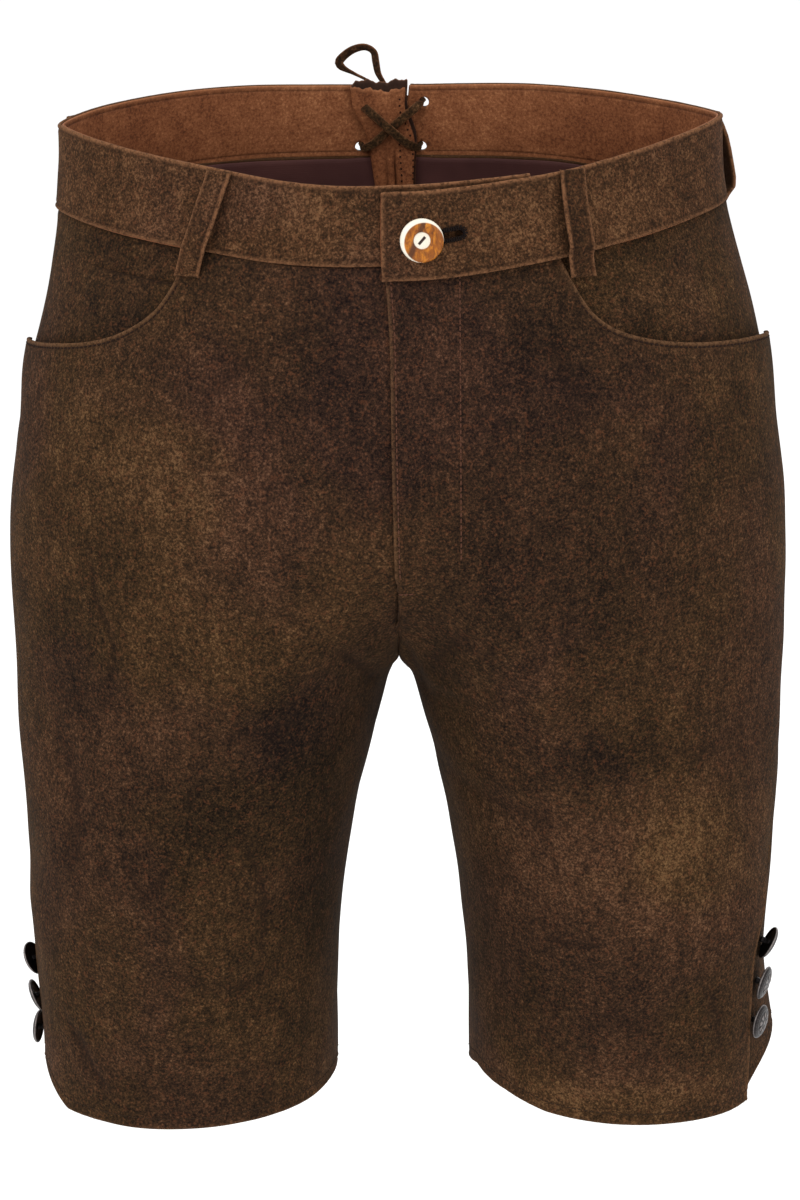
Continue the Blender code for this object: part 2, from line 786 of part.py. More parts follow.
# ---------------------------------------------------------------- belt loops
LOOP_WIDTH = 13.0 * MM
LOOP_LEATHER = 1.8 * MM
LOOPS = {
    # side, girth at its top, girth at its foot, how far it stands off, how far below the waist seam
    "front_left": (LEFT, 0.386, 0.366, 5.6 * MM, 12.0 * MM),
    "front_right": (RIGHT, 0.370, 0.410, 5.6 * MM, 13.0 * MM),
    "side_left": (LEFT, 1.13, 1.13, 6.8 * MM, 9.0 * MM),
    "side_right": (RIGHT, 1.17, 1.17, 4.0 * MM, 9.0 * MM),
    "back_left": (LEFT, 1.66, 1.66, 5.6 * MM, 9.0 * MM),
    "back_right": (RIGHT, 1.66, 1.66, 5.6 * MM, 9.0 * MM),
}
LOOP_PROFILE = (
    # share of the way down, share of the full stand-off
    (0.00, 0.00), (0.06, 0.04), (0.14, 0.30), (0.26, 0.60), (0.42, 0.84), (0.58, 0.98),
    (0.71, 1.02), (0.81, 0.88), (0.88, 0.44), (0.94, 0.04), (1.00, 0.00),
)  # fmt: skip


def seat_under_loop(side, u, z):
    """How far the piece under a loop stands out: the band, or the panel below it."""
    if z < band_edges(side, u)[1] - 1.5 * MM:
        return front_proud(side, u, z) if u < 1 else 0.0
    lap = lap_share(surface(LEFT, u, z).x) if side == LEFT and u < 1 else 0.0
    return mix(BAND_PROUD, LAPPED_BAND, lap)


def belt_loop(name, collection, finish):
    side, top_girth, foot_girth, stands_off, foot_drop = LOOPS[name]
    band_top = band_edges(side, top_girth)[0]
    seam = round_the_waist(side, BAND_BOTTOM, foot_girth)
    top, foot = band_top - 0.8 * MM, seam - foot_drop
    rows = []
    for share, off in LOOP_PROFILE:
        z = mix(top, foot, share)
        centre = mix(top_girth, foot_girth, share)
        normal = outward(side, centre, z)
        seat = seat_under_loop(side, centre, z)
        middle = place(side, centre, z, seat + 0.5 * MM + off * stands_off + LOOP_LEATHER)
        tangent = normal.cross(Vector((0, 0, 1))).normalized()
        rows.append([middle + tangent * LOOP_WIDTH / 2 * t for t in (-1.0, 0.0, 1.0)])
    return wall(f"belt_loop_{name}", rows, LOOP_LEATHER, collection, finish)


# ---------------------------------------------------------------- buttons
WAIST_BUTTON = (
    # radius, height above the button's back, in mm
    (0.0, 2.6), (3.4, 2.6), (4.1, 3.1), (4.6, 3.7), (7.6, 4.0), (9.4, 3.5), (10.2, 2.4),
    (9.9, 1.0), (8.8, 0.3), (2.2, 0.0), (2.0, -2.2), (0.0, -2.2),
)  # fmt: skip
LEG_BUTTON = (
    # radius, height above the button's back, in mm
    (0.0, 2.9), (3.6, 2.75), (6.6, 2.2), (8.2, 1.5), (8.8, 0.8), (8.5, 0.1), (7.6, 0.2),
    (6.6, 0.7), (1.7, 1.0), (1.4, -1.2), (1.6, -3.6), (0.0, -3.6),
)  # fmt: skip
# Each leg button leans its own way, as its shank is loose. Degrees.
LEG_BUTTONS = {
    # side: (behind the side seam, height, lean of its top away from the leg, turn to the front)
    RIGHT: (
        (4.5 * MM, -0.4355, 24.0, -20.0),
        (5.2 * MM, -0.4562, 21.0, -4.0),
        (4.5 * MM, -0.4755, -5.0, -14.0),
    ),
    LEFT: (
        (11.0 * MM, -0.4187, 26.0, -18.0),
        (9.0 * MM, -0.4402, 9.0, 2.0),
        (6.5 * MM, -0.4612, 4.0, 5.0),
    ),
}
WAIST_BUTTON_AT = (13.0 * MM, -0.0470)  # from the middle, and height
BUTTONHOLE_REACH = Vector((18.0, 2.6, 3.0)) * MM  # from the button to its other end


def waist_button(pieces, collection, finish, cutters):
    """The horn button and the keyhole slit that its shank comes through."""
    profile = [(radius * MM, height * MM) for radius, height in WAIST_BUTTON]
    button = turned("waist_button", profile, 24, collection, finish)
    x, z = WAIST_BUTTON_AT
    u = girth_at(x, z)
    normal = outward(LEFT, u, z)
    centre = place(LEFT, u, z, LAPPED_BAND + 0.5 * MM)
    button.matrix_world = facing(centre, normal, Vector((1, 0, 0)))
    cutter = rod_cutter(
        "buttonhole", place(LEFT, u, z, LAPPED_BAND) + BUTTONHOLE_REACH / 2, normal, 2.7 * MM,
        8.0 * MM, cutters, stretch=BUTTONHOLE_REACH.length, stretch_along=BUTTONHOLE_REACH,
    )  # fmt: skip
    for piece in pieces:
        cut(piece, cutter)


def leg_button(side, index, collection, finish):
    behind, z, lean, turn = LEG_BUTTONS[side][index]
    profile = [(radius * MM, height * MM) for radius, height in LEG_BUTTON]
    name = f"leg_button_{SIDE_NAME[side]}_{index + 1}"
    button = turned(name, profile, 20, collection, finish)
    u = along_girth(side, outseam(side, z), z, behind)
    frame = facing(
        place(side, u, z, flare(side, u, z) + 1.1 * MM), outward(side, u, z), Vector((0, 1, 0))
    )
    tip = Matrix.Rotation(math.radians(lean * side), 4, "X")
    sideways = Matrix.Rotation(math.radians(-turn), 4, "Y")
    button.matrix_world = frame @ tip @ sideways @ Matrix.Translation((0, 0, 3.6 * MM))


# ---------------------------------------------------------------- lace
def lace_point(x, z, out_mm):
    """A point beside the centre back, out_mm outside the garment surface (inside if negative)."""
    side = LEFT if x >= 0 else RIGHT
    return place(side, back_girth_at(abs(x), z), z, out_mm * MM)


def lace_routes():
    """The lacing through the eyelets, the standing loop and the two ends."""
    (ux, uz), (lx, lz) = EYELETS["upper"], EYELETS["lower"]
    knot = lace_point(0.0, uz - 0.5 * MM, 4.6)

    def crossing(from_x, from_z, to_x, to_z, over):
        """Inside the waist, from one eyelet to the opposite one, over or under the other run."""
        middle = 12.4 if over else 9.2
        beside = 10.4 if over else 9.0
        points = []
        for share, depth in ((0.08, 7.6), (0.2, beside), (0.5, middle), (0.8, beside), (0.92, 7.6)):
            x, z = mix(from_x, to_x, share), mix(from_z, to_z, share)
            points.append(lace_point(x, z, -depth))
        return points

    def through(x, z, inwards):
        depths = (2.6, -0.6, -3.6)
        points = [lace_point(x, z, d) for d in depths]
        return points if inwards else points[::-1]

    lacing = (
        [lace_point(-5.2 * MM, uz - 0.5 * MM, 4.3), lace_point(-0.011, uz, 3.6)]
        + through(-ux, uz, True)
        + crossing(-ux, uz, lx, lz, True)
        + through(lx, lz, False)
        + [lace_point(0.011, lz - 0.5 * MM, 3.4), lace_point(0.0, lz - 0.8 * MM, 3.0)]
        + [lace_point(-0.011, lz - 0.5 * MM, 3.4)]
        + through(-lx, lz, True)
        + crossing(-lx, lz, ux, uz, False)
        + through(ux, uz, False)
        + [lace_point(0.011, uz, 3.6), lace_point(5.2 * MM, uz - 0.5 * MM, 4.3)]
    )
    loop = [
        knot + Vector((-1.8, 0.4, 3.2)) * MM,
        knot + Vector((-3.0, 0.2, 8.0)) * MM,
        knot + Vector((-6.2, -0.6, 14.0)) * MM,
        knot + Vector((-7.4, -0.8, 20.0)) * MM,
        knot + Vector((-8.6, -0.6, 25.4)) * MM,
        knot + Vector((-13.5, 0.2, 27.8)) * MM,
        knot + Vector((-20.5, 1.0, 25.8)) * MM,
        knot + Vector((-26.4, 1.4, 20.6)) * MM,
        knot + Vector((-25.2, 1.6, 17.2)) * MM,
        knot + Vector((-18.6, 2.2, 13.6)) * MM,
        knot + Vector((-11.0, 2.6, 9.6)) * MM,
        knot + Vector((-6.2, 2.4, 5.4)) * MM,
        knot + Vector((-4.6, 1.6, 2.2)) * MM,
    ]
    tails = {}
    for side in (LEFT, RIGHT):
        tails[side] = [
            knot + Vector((side * 2.2, 0.6, -4.1)) * MM,
            lace_point(side * 4.5 * MM, -0.017, 6.6),
            lace_point(side * 6.5 * MM, -0.028, 7.0),
            lace_point(side * (8.0 + 1.5 * side) * MM, -0.042, 4.4),
            lace_point(side * (9.0 + 2.0 * side) * MM, -0.056, 3.0),
            lace_point(side * (9.5 + 2.5 * side) * MM, -0.070, 2.8),
            lace_point(side * (10.5 + 2.5 * side) * MM, -0.078 - 0.003 * side, 2.8),
        ]
    return knot, lacing, loop, tails


def lace(collection, finish):
    knot, lacing, loop, tails = lace_routes()
    step = 4 * MM
    tube("lace", smooth_route(lacing, step), LACE_RADIUS, collection, finish)
    tube("lace_loop", smooth_route(loop, step), LACE_RADIUS, collection, finish)
    for side, route in tails.items():
        name = f"lace_end_{SIDE_NAME[side]}"
        tube(name, smooth_route(route, step), LACE_RADIUS, collection, finish)
    ball = bmesh.new()
    bmesh.ops.create_uvsphere(ball, u_segments=12, v_segments=8, radius=1.0)
    bmesh.ops.scale(ball, vec=(3.4 * MM, 2.3 * MM, 2.6 * MM), verts=ball.verts)
    mesh = bpy.data.meshes.new("lace_knot")
    ball.to_mesh(mesh)
    ball.free()
    knot_piece = new_object("lace_knot", mesh, collection, finish)
    knot_piece.location = knot


# ---------------------------------------------------------------- the whole garment
def build():
    parts, cutters = start_empty_scene()
    suede = material("suede", SUEDE, 0.95)
    suede_light = material("suede_light", SUEDE_LIGHT, 0.92)
    tan = material("tan_leather", TAN_LEATHER, 0.70)
    lining_cloth = material("lining_cloth", LINING, 0.80)
    horn = material("horn", HORN, 0.35)
    pewter = material("pewter", PEWTER, 0.40, metallic=0.9)

    bands = {}
    for side in (LEFT, RIGHT):
        front_panel(side, parts, suede)
        back_panel(side, parts, suede)
        bands[side] = waistband(side, parts, suede_light, tan)
        pierce_eyelets(side, bands[side], cutters)
        pocket_facing(side, parts, suede)
        lining(side, parts, lining_cloth)
        for index in range(len(LEG_BUTTONS[side])):
            leg_button(side, index, parts, pewter)
    fly_facing(parts, suede)
    coin_pocket(parts, suede)
    gusset(parts, tan)
    for name in LOOPS:
        belt_loop(name, parts, suede_light)
    waist_button(bands[LEFT], parts, horn, cutters)
    lace(parts, suede)


build()
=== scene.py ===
"""Looks of the short suede lederhosen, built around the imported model.

Metres, in the model's frame: +Z up, the front faces -Y, and the wearer's left is +X. As in the
model, a place on the garment surface is a girth u (0 centre front or inseam, 1 side, 2 centre back
or inseam) and a height z on one half. Every cloth piece is a shell on that surface, with its own
seams, turned edges and creases. The panels, the gusset and the buttonhole have rows of stitches.
"""

import math

import bpy
import numpy as np
from mathutils import Matrix, Vector, kdtree


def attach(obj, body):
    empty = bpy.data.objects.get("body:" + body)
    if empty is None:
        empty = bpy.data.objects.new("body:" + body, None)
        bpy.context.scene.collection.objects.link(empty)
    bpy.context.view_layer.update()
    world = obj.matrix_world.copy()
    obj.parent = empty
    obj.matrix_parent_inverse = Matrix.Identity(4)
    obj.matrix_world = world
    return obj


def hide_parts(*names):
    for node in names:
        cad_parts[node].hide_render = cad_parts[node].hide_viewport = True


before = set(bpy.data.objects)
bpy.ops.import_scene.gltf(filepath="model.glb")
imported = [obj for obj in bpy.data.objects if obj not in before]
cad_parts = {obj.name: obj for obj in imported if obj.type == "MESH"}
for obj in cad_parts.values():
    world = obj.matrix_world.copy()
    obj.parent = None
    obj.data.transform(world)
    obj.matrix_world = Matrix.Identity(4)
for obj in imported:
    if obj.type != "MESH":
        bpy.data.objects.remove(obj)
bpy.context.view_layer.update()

MM = 0.001
LEFT, RIGHT = +1, -1
SIDE_NAME = {LEFT: "left", RIGHT: "right"}
BODY_NAME = "root"

# ---------------------------------------------------------------- camera, light and floor
CAMERA_AT = (0.0, -1.75, 0.20)
CAMERA_PITCH = 14.4  # degrees, downwards
CAMERA_ROLL = -0.5
CAMERA_LENS = 106.26
CAMERA_SHIFT_X = 0.00167
FLOOR_Z = -0.80
FLOOR_REACH = 14.0


def linked(name, data):
    """A new object with this data, in the scene."""
    made = bpy.data.objects.new(name, data)
    bpy.context.scene.collection.objects.link(made)
    return made


def add_camera():
    data = bpy.data.cameras.new("camera")
    data.lens = CAMERA_LENS
    data.sensor_width = 36.0
    data.shift_x = CAMERA_SHIFT_X
    data.clip_start, data.clip_end = 0.05, 60.0
    camera = linked("camera", data)
    pitch, roll = math.radians(90 - CAMERA_PITCH), math.radians(CAMERA_ROLL)
    camera.matrix_world = (
        Matrix.Translation(CAMERA_AT)
        @ Matrix.Rotation(pitch, 4, "X")
        @ Matrix.Rotation(roll, 4, "Z")
    )
    bpy.context.scene.camera = camera


SOFT_BOXES = (
    # name, place, size, power
    ("key", (-1.4, -2.3, 1.8), 1.5, 26.0),
    ("fill", (1.9, -1.9, 1.0), 1.6, 10.0),
    ("top", (0.1, 0.4, 2.3), 1.4, 14.0),
    ("back", (0.3, 2.6, 1.3), 1.6, 8.0),
)
LIGHT_TARGET = Vector((0.0, 0.0, -0.22))


def add_lights():
    for name, place_at, size, power in SOFT_BOXES:
        data = bpy.data.lights.new(name, "AREA")
        data.shape = "DISK"
        data.size = size
        data.energy = power
        lamp = linked(name, data)
        lamp.location = place_at
        lamp.rotation_mode = "QUATERNION"
        lamp.rotation_quaternion = (LIGHT_TARGET - Vector(place_at)).to_track_quat("-Z", "Y")
    world = bpy.data.worlds.new("studio")
    world.use_nodes = True
    sky = world.node_tree.nodes["Background"]
    sky.inputs["Color"].default_value = (1.0, 1.0, 1.0, 1.0)
    sky.inputs["Strength"].default_value = 1.05
    bpy.context.scene.world = world
    bpy.context.scene.view_settings.view_transform = "Standard"


def add_floor():
    mesh = bpy.data.meshes.new("floor")
    corners = [(x * FLOOR_REACH, y * FLOOR_REACH, 0) for x, y in ((-1, -1), (1, -1), (1, 1), (-1, 1))]
    mesh.from_pydata(corners, [], [(0, 1, 2, 3)])
    floor = linked("floor", mesh)
    floor.location.z = FLOOR_Z
    paint = bpy.data.materials.new("floor")
    paint.use_nodes = True
    shader = paint.node_tree.nodes["Principled BSDF"]
    shader.inputs["Base Color"].default_value = (0.97, 0.97, 0.97, 1.0)
    shader.inputs["Roughness"].default_value = 0.9
    mesh.materials.append(paint)


# ---------------------------------------------------------------- sizes, as in the model
LEATHER = 1.8 * MM
BAND_LEATHER = 1.5 * MM
FACING_LEATHER = 1.0 * MM
HIP_LEATHER = 1.2 * MM
COIN_LEATHER = 1.0 * MM
LINING_CLOTH = 1.0 * MM
LINING_BOTTOM_Z = -0.168
PLY_GAP = 0.5 * MM  # between pieces that lie on each other
STITCH_INSET = 2.4 * MM  # of a row of stitches, from its edge
HEM_INSET = 5.8 * MM  # the same at the hem
CROTCH_Z = -0.273
BODY = (
    # z, half_width, front, back, pointed
    (+0.015, 0.1625, 0.1130, 0.1120, 1.24),
    (-0.020, 0.1630, 0.1155, 0.1160, 1.20),
    (-0.045, 0.1655, 0.1180, 0.1210, 1.14),
    (-0.075, 0.1715, 0.1215, 0.1275, 1.06),
    (-0.105, 0.1790, 0.1250, 0.1330, 1.00),
    (-0.135, 0.1865, 0.1275, 0.1370, 0.95),
    (-0.170, 0.1925, 0.1285, 0.1390, 0.92),
    (-0.210, 0.1960, 0.1270, 0.1375, 0.91),
    (-0.260, 0.1958, 0.1225, 0.1320, 0.92),
    (-0.320, 0.1945, 0.1140, 0.1220, 0.94),
    (-0.380, 0.1915, 0.1045, 0.1105, 0.94),
    (-0.430, 0.1878, 0.0965, 0.1010, 0.94),
    (-0.470, 0.1858, 0.0915, 0.0950, 0.94),
    (-0.515, 0.1850, 0.0885, 0.0915, 0.94),
)
INSEAM = (
    # z, left from_middle, right from_middle
    (CROTCH_Z, 0.0000, 0.0000),
    (-0.279, 0.0045, 0.0026),
    (-0.285, 0.0070, 0.0052),
    (-0.297, 0.0100, 0.0083),
    (-0.309, 0.0130, 0.0114),
    (-0.333, 0.0192, 0.0178),
    (-0.360, 0.0245, 0.0242),
    (-0.400, 0.0300, 0.0302),
    (-0.440, 0.0338, 0.0338),
    (-0.510, 0.0350, 0.0350),
)
CURVE_RISE_FRONT, CURVE_RISE_BACK = 0.085, 0.120  # from the crotch up
CURVE_ROUNDNESS = 1.7  # 1 is a straight slope, 2 a quarter circle
INNER_ROUND = 0.46  # share of the half width that curves in to the seam at the crotch
LEG_ROUNDS_IN = 0.130  # below the crotch the leg becomes a plain tube over this height
GIRTH_SHIFT_RISE = 0.165  # girths crowd towards the inner seam from this far above the crotch
BAND_TOP = (-0.0215, 0.000, +0.0005)  # centre front, side, centre back
BAND_BOTTOM = (-0.0585, -0.041, -0.037)
# The band dips at the sides and rises over the hips at the back, by girth from the centre front.
WAIST_DIP = (
    # girth, right mm, left mm
    (0.00, +0.0, +0.0),
    (0.20, -2.0, -0.6),
    (0.40, -1.6, -2.6),
    (0.65, -3.2, -2.4),
    (0.90, -4.6, -3.0),
    (1.00, -5.2, -3.0),
    (1.14, -3.8, -2.8),
    (1.30, -1.0, -1.6),
    (1.50, +1.8, +0.8),
    (1.65, +2.2, +1.8),
    (1.80, +0.8, +0.8),
    (1.90, +0.0, +0.0),
)
BAND_PROUD = 1.0 * MM  # the band stands this far out from the panels
LAP_DROP = (3.0 * MM, 7.0 * MM)  # the buttoned end sits this much lower, at its top and bottom
LAP_END_X = -4.0 * MM
UNDERLAP_X = 0.073  # the right band runs on this far under the left one
LAP_FADE_X = 0.108  # the left band is back on the garment surface from here on
FACING_PROUD = (BAND_PROUD - BAND_LEATHER - 0.3 * MM, BAND_PROUD + PLY_GAP + FACING_LEATHER)
LAPPED_BAND = FACING_PROUD[1] + 0.3 * MM + BAND_LEATHER
FLY_EDGE = 4.5 * MM  # how far the left front laps over the right one
FLY_END_Z = -0.211
FLY_RISE = LEATHER + PLY_GAP
FLY_ROW_X = 30.0 * MM  # the second row of stitches, from the middle
FLY_ROW_END_Z = -0.199
POCKET = (
    # u on the right, u on the left, z
    (0.427, 0.350, -0.0540),
    (0.436, 0.355, -0.0640),
    (0.452, 0.363, -0.0740),
    (0.479, 0.380, -0.0840),
    (0.525, 0.416, -0.0925),
    (0.584, 0.485, -0.0990),
    (0.660, 0.585, -0.1035),
    (0.750, 0.715, -0.1065),
    (0.840, 0.855, -0.1090),
    (1.000, 1.000, -0.1125),
)
POCKET_COLUMN = {RIGHT: 0, LEFT: 1}
MOUTH_GAPE = 4.0 * MM  # the corner of the mouth stands this far out from the hip facing
HIP_FACING_FROM = 0.275
HIP_FACING_BOTTOM_Z = -0.152
COIN_POCKET = (
    # u, top z, bottom z
    (0.425, -0.0705, -0.1240),
    (0.690, -0.0668, -0.1240),
)
HEM = {
    # share of the panel from its inner seam, z
    "front_right": ((0.0, -0.4985), (0.4, -0.4995), (0.6, -0.5010), (0.84, -0.5030), (1.0, -0.4890)),
    "front_left": (
        (0.00, -0.4975), (0.11, -0.4910), (0.27, -0.4930), (0.40, -0.4975), (0.58, -0.5000),
        (0.80, -0.5020), (1.00, -0.5035),
    ),
    "back_right": ((0.0, -0.4985), (0.46, -0.5005), (0.86, -0.5010), (1.0, -0.4890)),
    "back_left": (
        (0.000, -0.4985), (0.46, -0.5005), (0.62, -0.5000), (0.84, -0.4780), (0.975, -0.5030),
        (1.000, -0.5035),
    ),
}  # fmt: skip
VENT_TOP_Z = -0.415
VENT_GAP = 0.9 * MM  # between the two panels there
VENT_LAP = 8.0 * MM  # the back panel runs on this far under the front one
NOTCH_TOP = 10.5 * MM
NOTCH_END_Z = -0.095
EYELET_RADIUS = 2.2 * MM
EYELETS = {"upper": (17.8 * MM, -0.0085), "lower": (16.4 * MM, -0.0320)}  # from the middle, height
# The side seams swing forwards to the vents.
SWING_FROM_Z = -0.300
SWING_REACH = 0.135
SWING = {LEFT: 0.175, RIGHT: 0.045}
# The left back panel stands out beside its vent.
FLARE = 8.0 * MM
FLARE_FROM_Z = -0.425
FLARE_REACH = 0.060
LEAN = (
    # z, towards the wearer's left
    (0.000, -0.0018),
    (-0.040, -0.0015),
    (-0.090, +0.0010),
    (-0.150, +0.0006),
    (-0.300, +0.0004),
    (-0.510, +0.0010),
)


# ---------------------------------------------------------------- maths on arrays
def clamp01(t):
    return np.clip(t, 0.0, 1.0)


def ease(t):
    t = clamp01(t)
    return t * t * (3 - 2 * t)


def mix(a, b, t):
    return a + (b - a) * t


def bump_at(t):
    """1 at 0, falling softly to 0 on both sides."""
    return np.exp(-np.square(t))


def arrays(*values):
    """The values as arrays of one shape."""
    return np.broadcast_arrays(*(np.asarray(v, float) for v in values))


def hermite(t, a, leave, b, arrive):
    """The smooth curve from a to b, with its slopes at both ends."""
    return (
        (2 * t**3 - 3 * t**2 + 1) * a + (t**3 - 2 * t**2 + t) * leave
        + (3 * t**2 - 2 * t**3) * b + (t**3 - t**2) * arrive
    )  # fmt: skip


def along(rows, key, column, first=0):
    """A smooth curve through one column of a table, by its first column."""
    table = np.array(sorted(rows, key=lambda row: row[first]))
    x, y = table[:, first], table[:, column]
    at = np.arange(len(x))
    before, after = np.maximum(at - 1, 0), np.minimum(at + 1, len(x) - 1)
    slopes = (y[after] - y[before]) / (x[after] - x[before])
    key = np.clip(key, x[0], x[-1])
    i = np.clip(np.searchsorted(x, key, side="right") - 1, 0, len(x) - 2)
    span = x[i + 1] - x[i]
    return hermite((key - x[i]) / span, y[i], span * slopes[i], y[i + 1], span * slopes[i + 1])


def round_the_waist(side, levels, u):
    front, middle, back = levels
    left_dip, right_dip = (along(WAIST_DIP, np.abs(u), column) * MM for column in (2, 1))
    dip = np.where((np.asarray(u) >= 0) == (side == LEFT), left_dip, right_dip)
    u = np.abs(u)
    swing = (1 - np.cos(math.pi * u)) / 2
    return np.where(u <= 1, mix(front, middle, swing), mix(back, middle, swing)) + dip


def unit(vectors):
    return vectors / np.maximum(np.linalg.norm(vectors, axis=-1, keepdims=True), 1e-12)


# ---------------------------------------------------------------- the garment surface
def quarter_round(t):
    t = clamp01(t)
    return np.sqrt(t * (2 - t))


def surface(side, u, z):
    """Points of the garment surface at girths u and heights z, on the side's half."""
    u, z = arrays(u, z)
    front = u <= 1
    depth = np.where(front, -along(BODY, z, 2), along(BODY, z, 3))
    a = np.where(front, u, 2 - u)
    width, pointed = along(BODY, z, 1), along(BODY, z, 4)
    sine = np.abs(np.sin(a * math.pi / 2))

    crowd = 1 - ease((z - CROTCH_Z) / GIRTH_SHIFT_RISE)
    x = mix(sine**pointed, sine * sine, crowd)
    below = 1 - clamp01((z - CROTCH_Z) / np.where(front, CURVE_RISE_FRONT, CURVE_RISE_BACK))
    under = 1 - (1 - below**CURVE_ROUNDNESS) ** (1 / CURVE_ROUNDNESS)
    across = x / (INNER_ROUND * mix(0.5, 1.0, under))
    y = depth * np.maximum(0.0, 1 - x ** (2 / pointed)) ** (pointed / 2)
    y *= 1 - under * (1 - mix(ease(across), quarter_round(across), under))
    torso_x = np.copysign(x, a) * width

    x = sine * sine
    torso = np.maximum(0.0, 1 - x ** (2 / pointed)) ** (pointed / 2)
    torso *= quarter_round(x / INNER_ROUND)
    leg = np.abs(np.sin(a * math.pi)) ** pointed
    leg_y = depth * mix(torso, leg, ease((CROTCH_Z - z) / LEG_ROUNDS_IN))
    leg_y = np.copysign(leg_y, a * depth)
    leg_x = mix(along(INSEAM, z, 1 if side == LEFT else 2), width, x)

    high = z >= CROTCH_Z
    return np.stack([side * np.where(high, torso_x, leg_x), np.where(high, y, leg_y), z], -1)


NORMAL_STEP = 0.0015


def outward(side, u, z):
    """Unit normals of the garment surface, pointing out of the garment."""
    over = surface(side, u + NORMAL_STEP, z) - surface(side, u - NORMAL_STEP, z)
    down = surface(side, u, z - NORMAL_STEP) - surface(side, u, z + NORMAL_STEP)
    return unit(np.cross(over, down) * -side)


def place(side, u, z, proud=0.0):
    """Points that stand proud of the garment surface."""
    u, z, proud = arrays(u, z, proud)
    points = surface(side, u, z) + outward(side, u, z) * proud[..., None]
    points[..., 0] += along(LEAN, z, 1)
    return points


SOLVE_ROUNDS = 34


def solve(low, high, too_low):
    """Bisection on arrays: too_low says where the middle is below the answer."""
    for _ in range(SOLVE_ROUNDS):
        middle = (low + high) / 2
        under = too_low(middle)
        low, high = np.where(under, middle, low), np.where(under, high, middle)
    return (low + high) / 2


def girth_at(x, z):
    """The girth at which the front is x from the middle; negative past the middle."""
    x, z = arrays(x, z)
    start = np.zeros(x.shape)
    return solve(start - 0.6, start + 1.0, lambda u: surface(LEFT, u, z)[..., 0] < x)


def back_girth_at(x, z):
    x, z = arrays(x, z)
    start = np.zeros(x.shape)
    return solve(start + 1.0, start + 2.2, lambda u: surface(LEFT, u, z)[..., 0] > x)


def along_girth(side, u, z, distance):
    """The girth at this distance round the surface from u, towards the back if positive."""
    u, z, distance = arrays(u, z, distance)
    start, way = surface(side, u, z), np.copysign(1.0, distance)
    zero = np.zeros(u.shape)

    def short(step):
        gone = surface(side, u + way * step, z) - start
        return np.linalg.norm(gone, axis=-1) < np.abs(distance)

    return u + way * solve(zero, zero + 0.3, short)


def outseam(side, z):
    return 1 - SWING[side] * ease((SWING_FROM_Z - z) / SWING_REACH)


def flare(side, u, z):
    """How far the left back panel stands out beside its vent."""
    seam = outseam(side, z)
    beside = ease((u - seam) / (1 - seam + 1e-6)) * (1 - ease((u - 1.05) / 0.25))
    return FLARE * (side == LEFT) * ease((FLARE_FROM_Z - z) / FLARE_REACH) * beside


def hem(side, share, panel):
    rows = HEM[f"{panel}_{SIDE_NAME[side]}"]
    return np.interp(share, [row[0] for row in rows], [row[1] for row in rows])


# ---------------------------------------------------------------- meshes
def add_object(name, mesh, finish, node=None):
    """Links a mesh as a piece on the garment's one body, in place of its CAD node."""
    mesh.materials.append(finish)
    piece = linked(name, mesh)
    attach(piece, BODY_NAME)
    if node:
        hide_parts(node)
    return piece


def mesh_of(name, points, faces, fields=None):
    mesh = bpy.data.meshes.new(name)
    mesh.from_pydata(points.tolist(), [], faces.tolist() if hasattr(faces, "tolist") else faces)
    mesh.shade_smooth()
    for field, values in (fields or {}).items():
        layer = mesh.attributes.new(field, "FLOAT", "POINT")
        layer.data.foreach_set("value", np.asarray(values, np.float32).ravel())
    return mesh


def grid_faces(rows, columns, start=0, ring=False):
    at = start + np.arange(rows * columns).reshape(rows, columns)
    if ring:
        at = np.concatenate([at, at[:, :1]], axis=1)
    quads = np.stack([at[:-1, :-1], at[1:, :-1], at[1:, 1:], at[:-1, 1:]], -1)
    return quads.reshape(-1, 4)


def grid_normals(grid, way):
    over, down = np.gradient(grid, axis=1), np.gradient(grid, axis=0)
    return unit(np.cross(down, over)) * way


RIM_BULGE = 0.42  # of a cut edge, as a share of the thickness


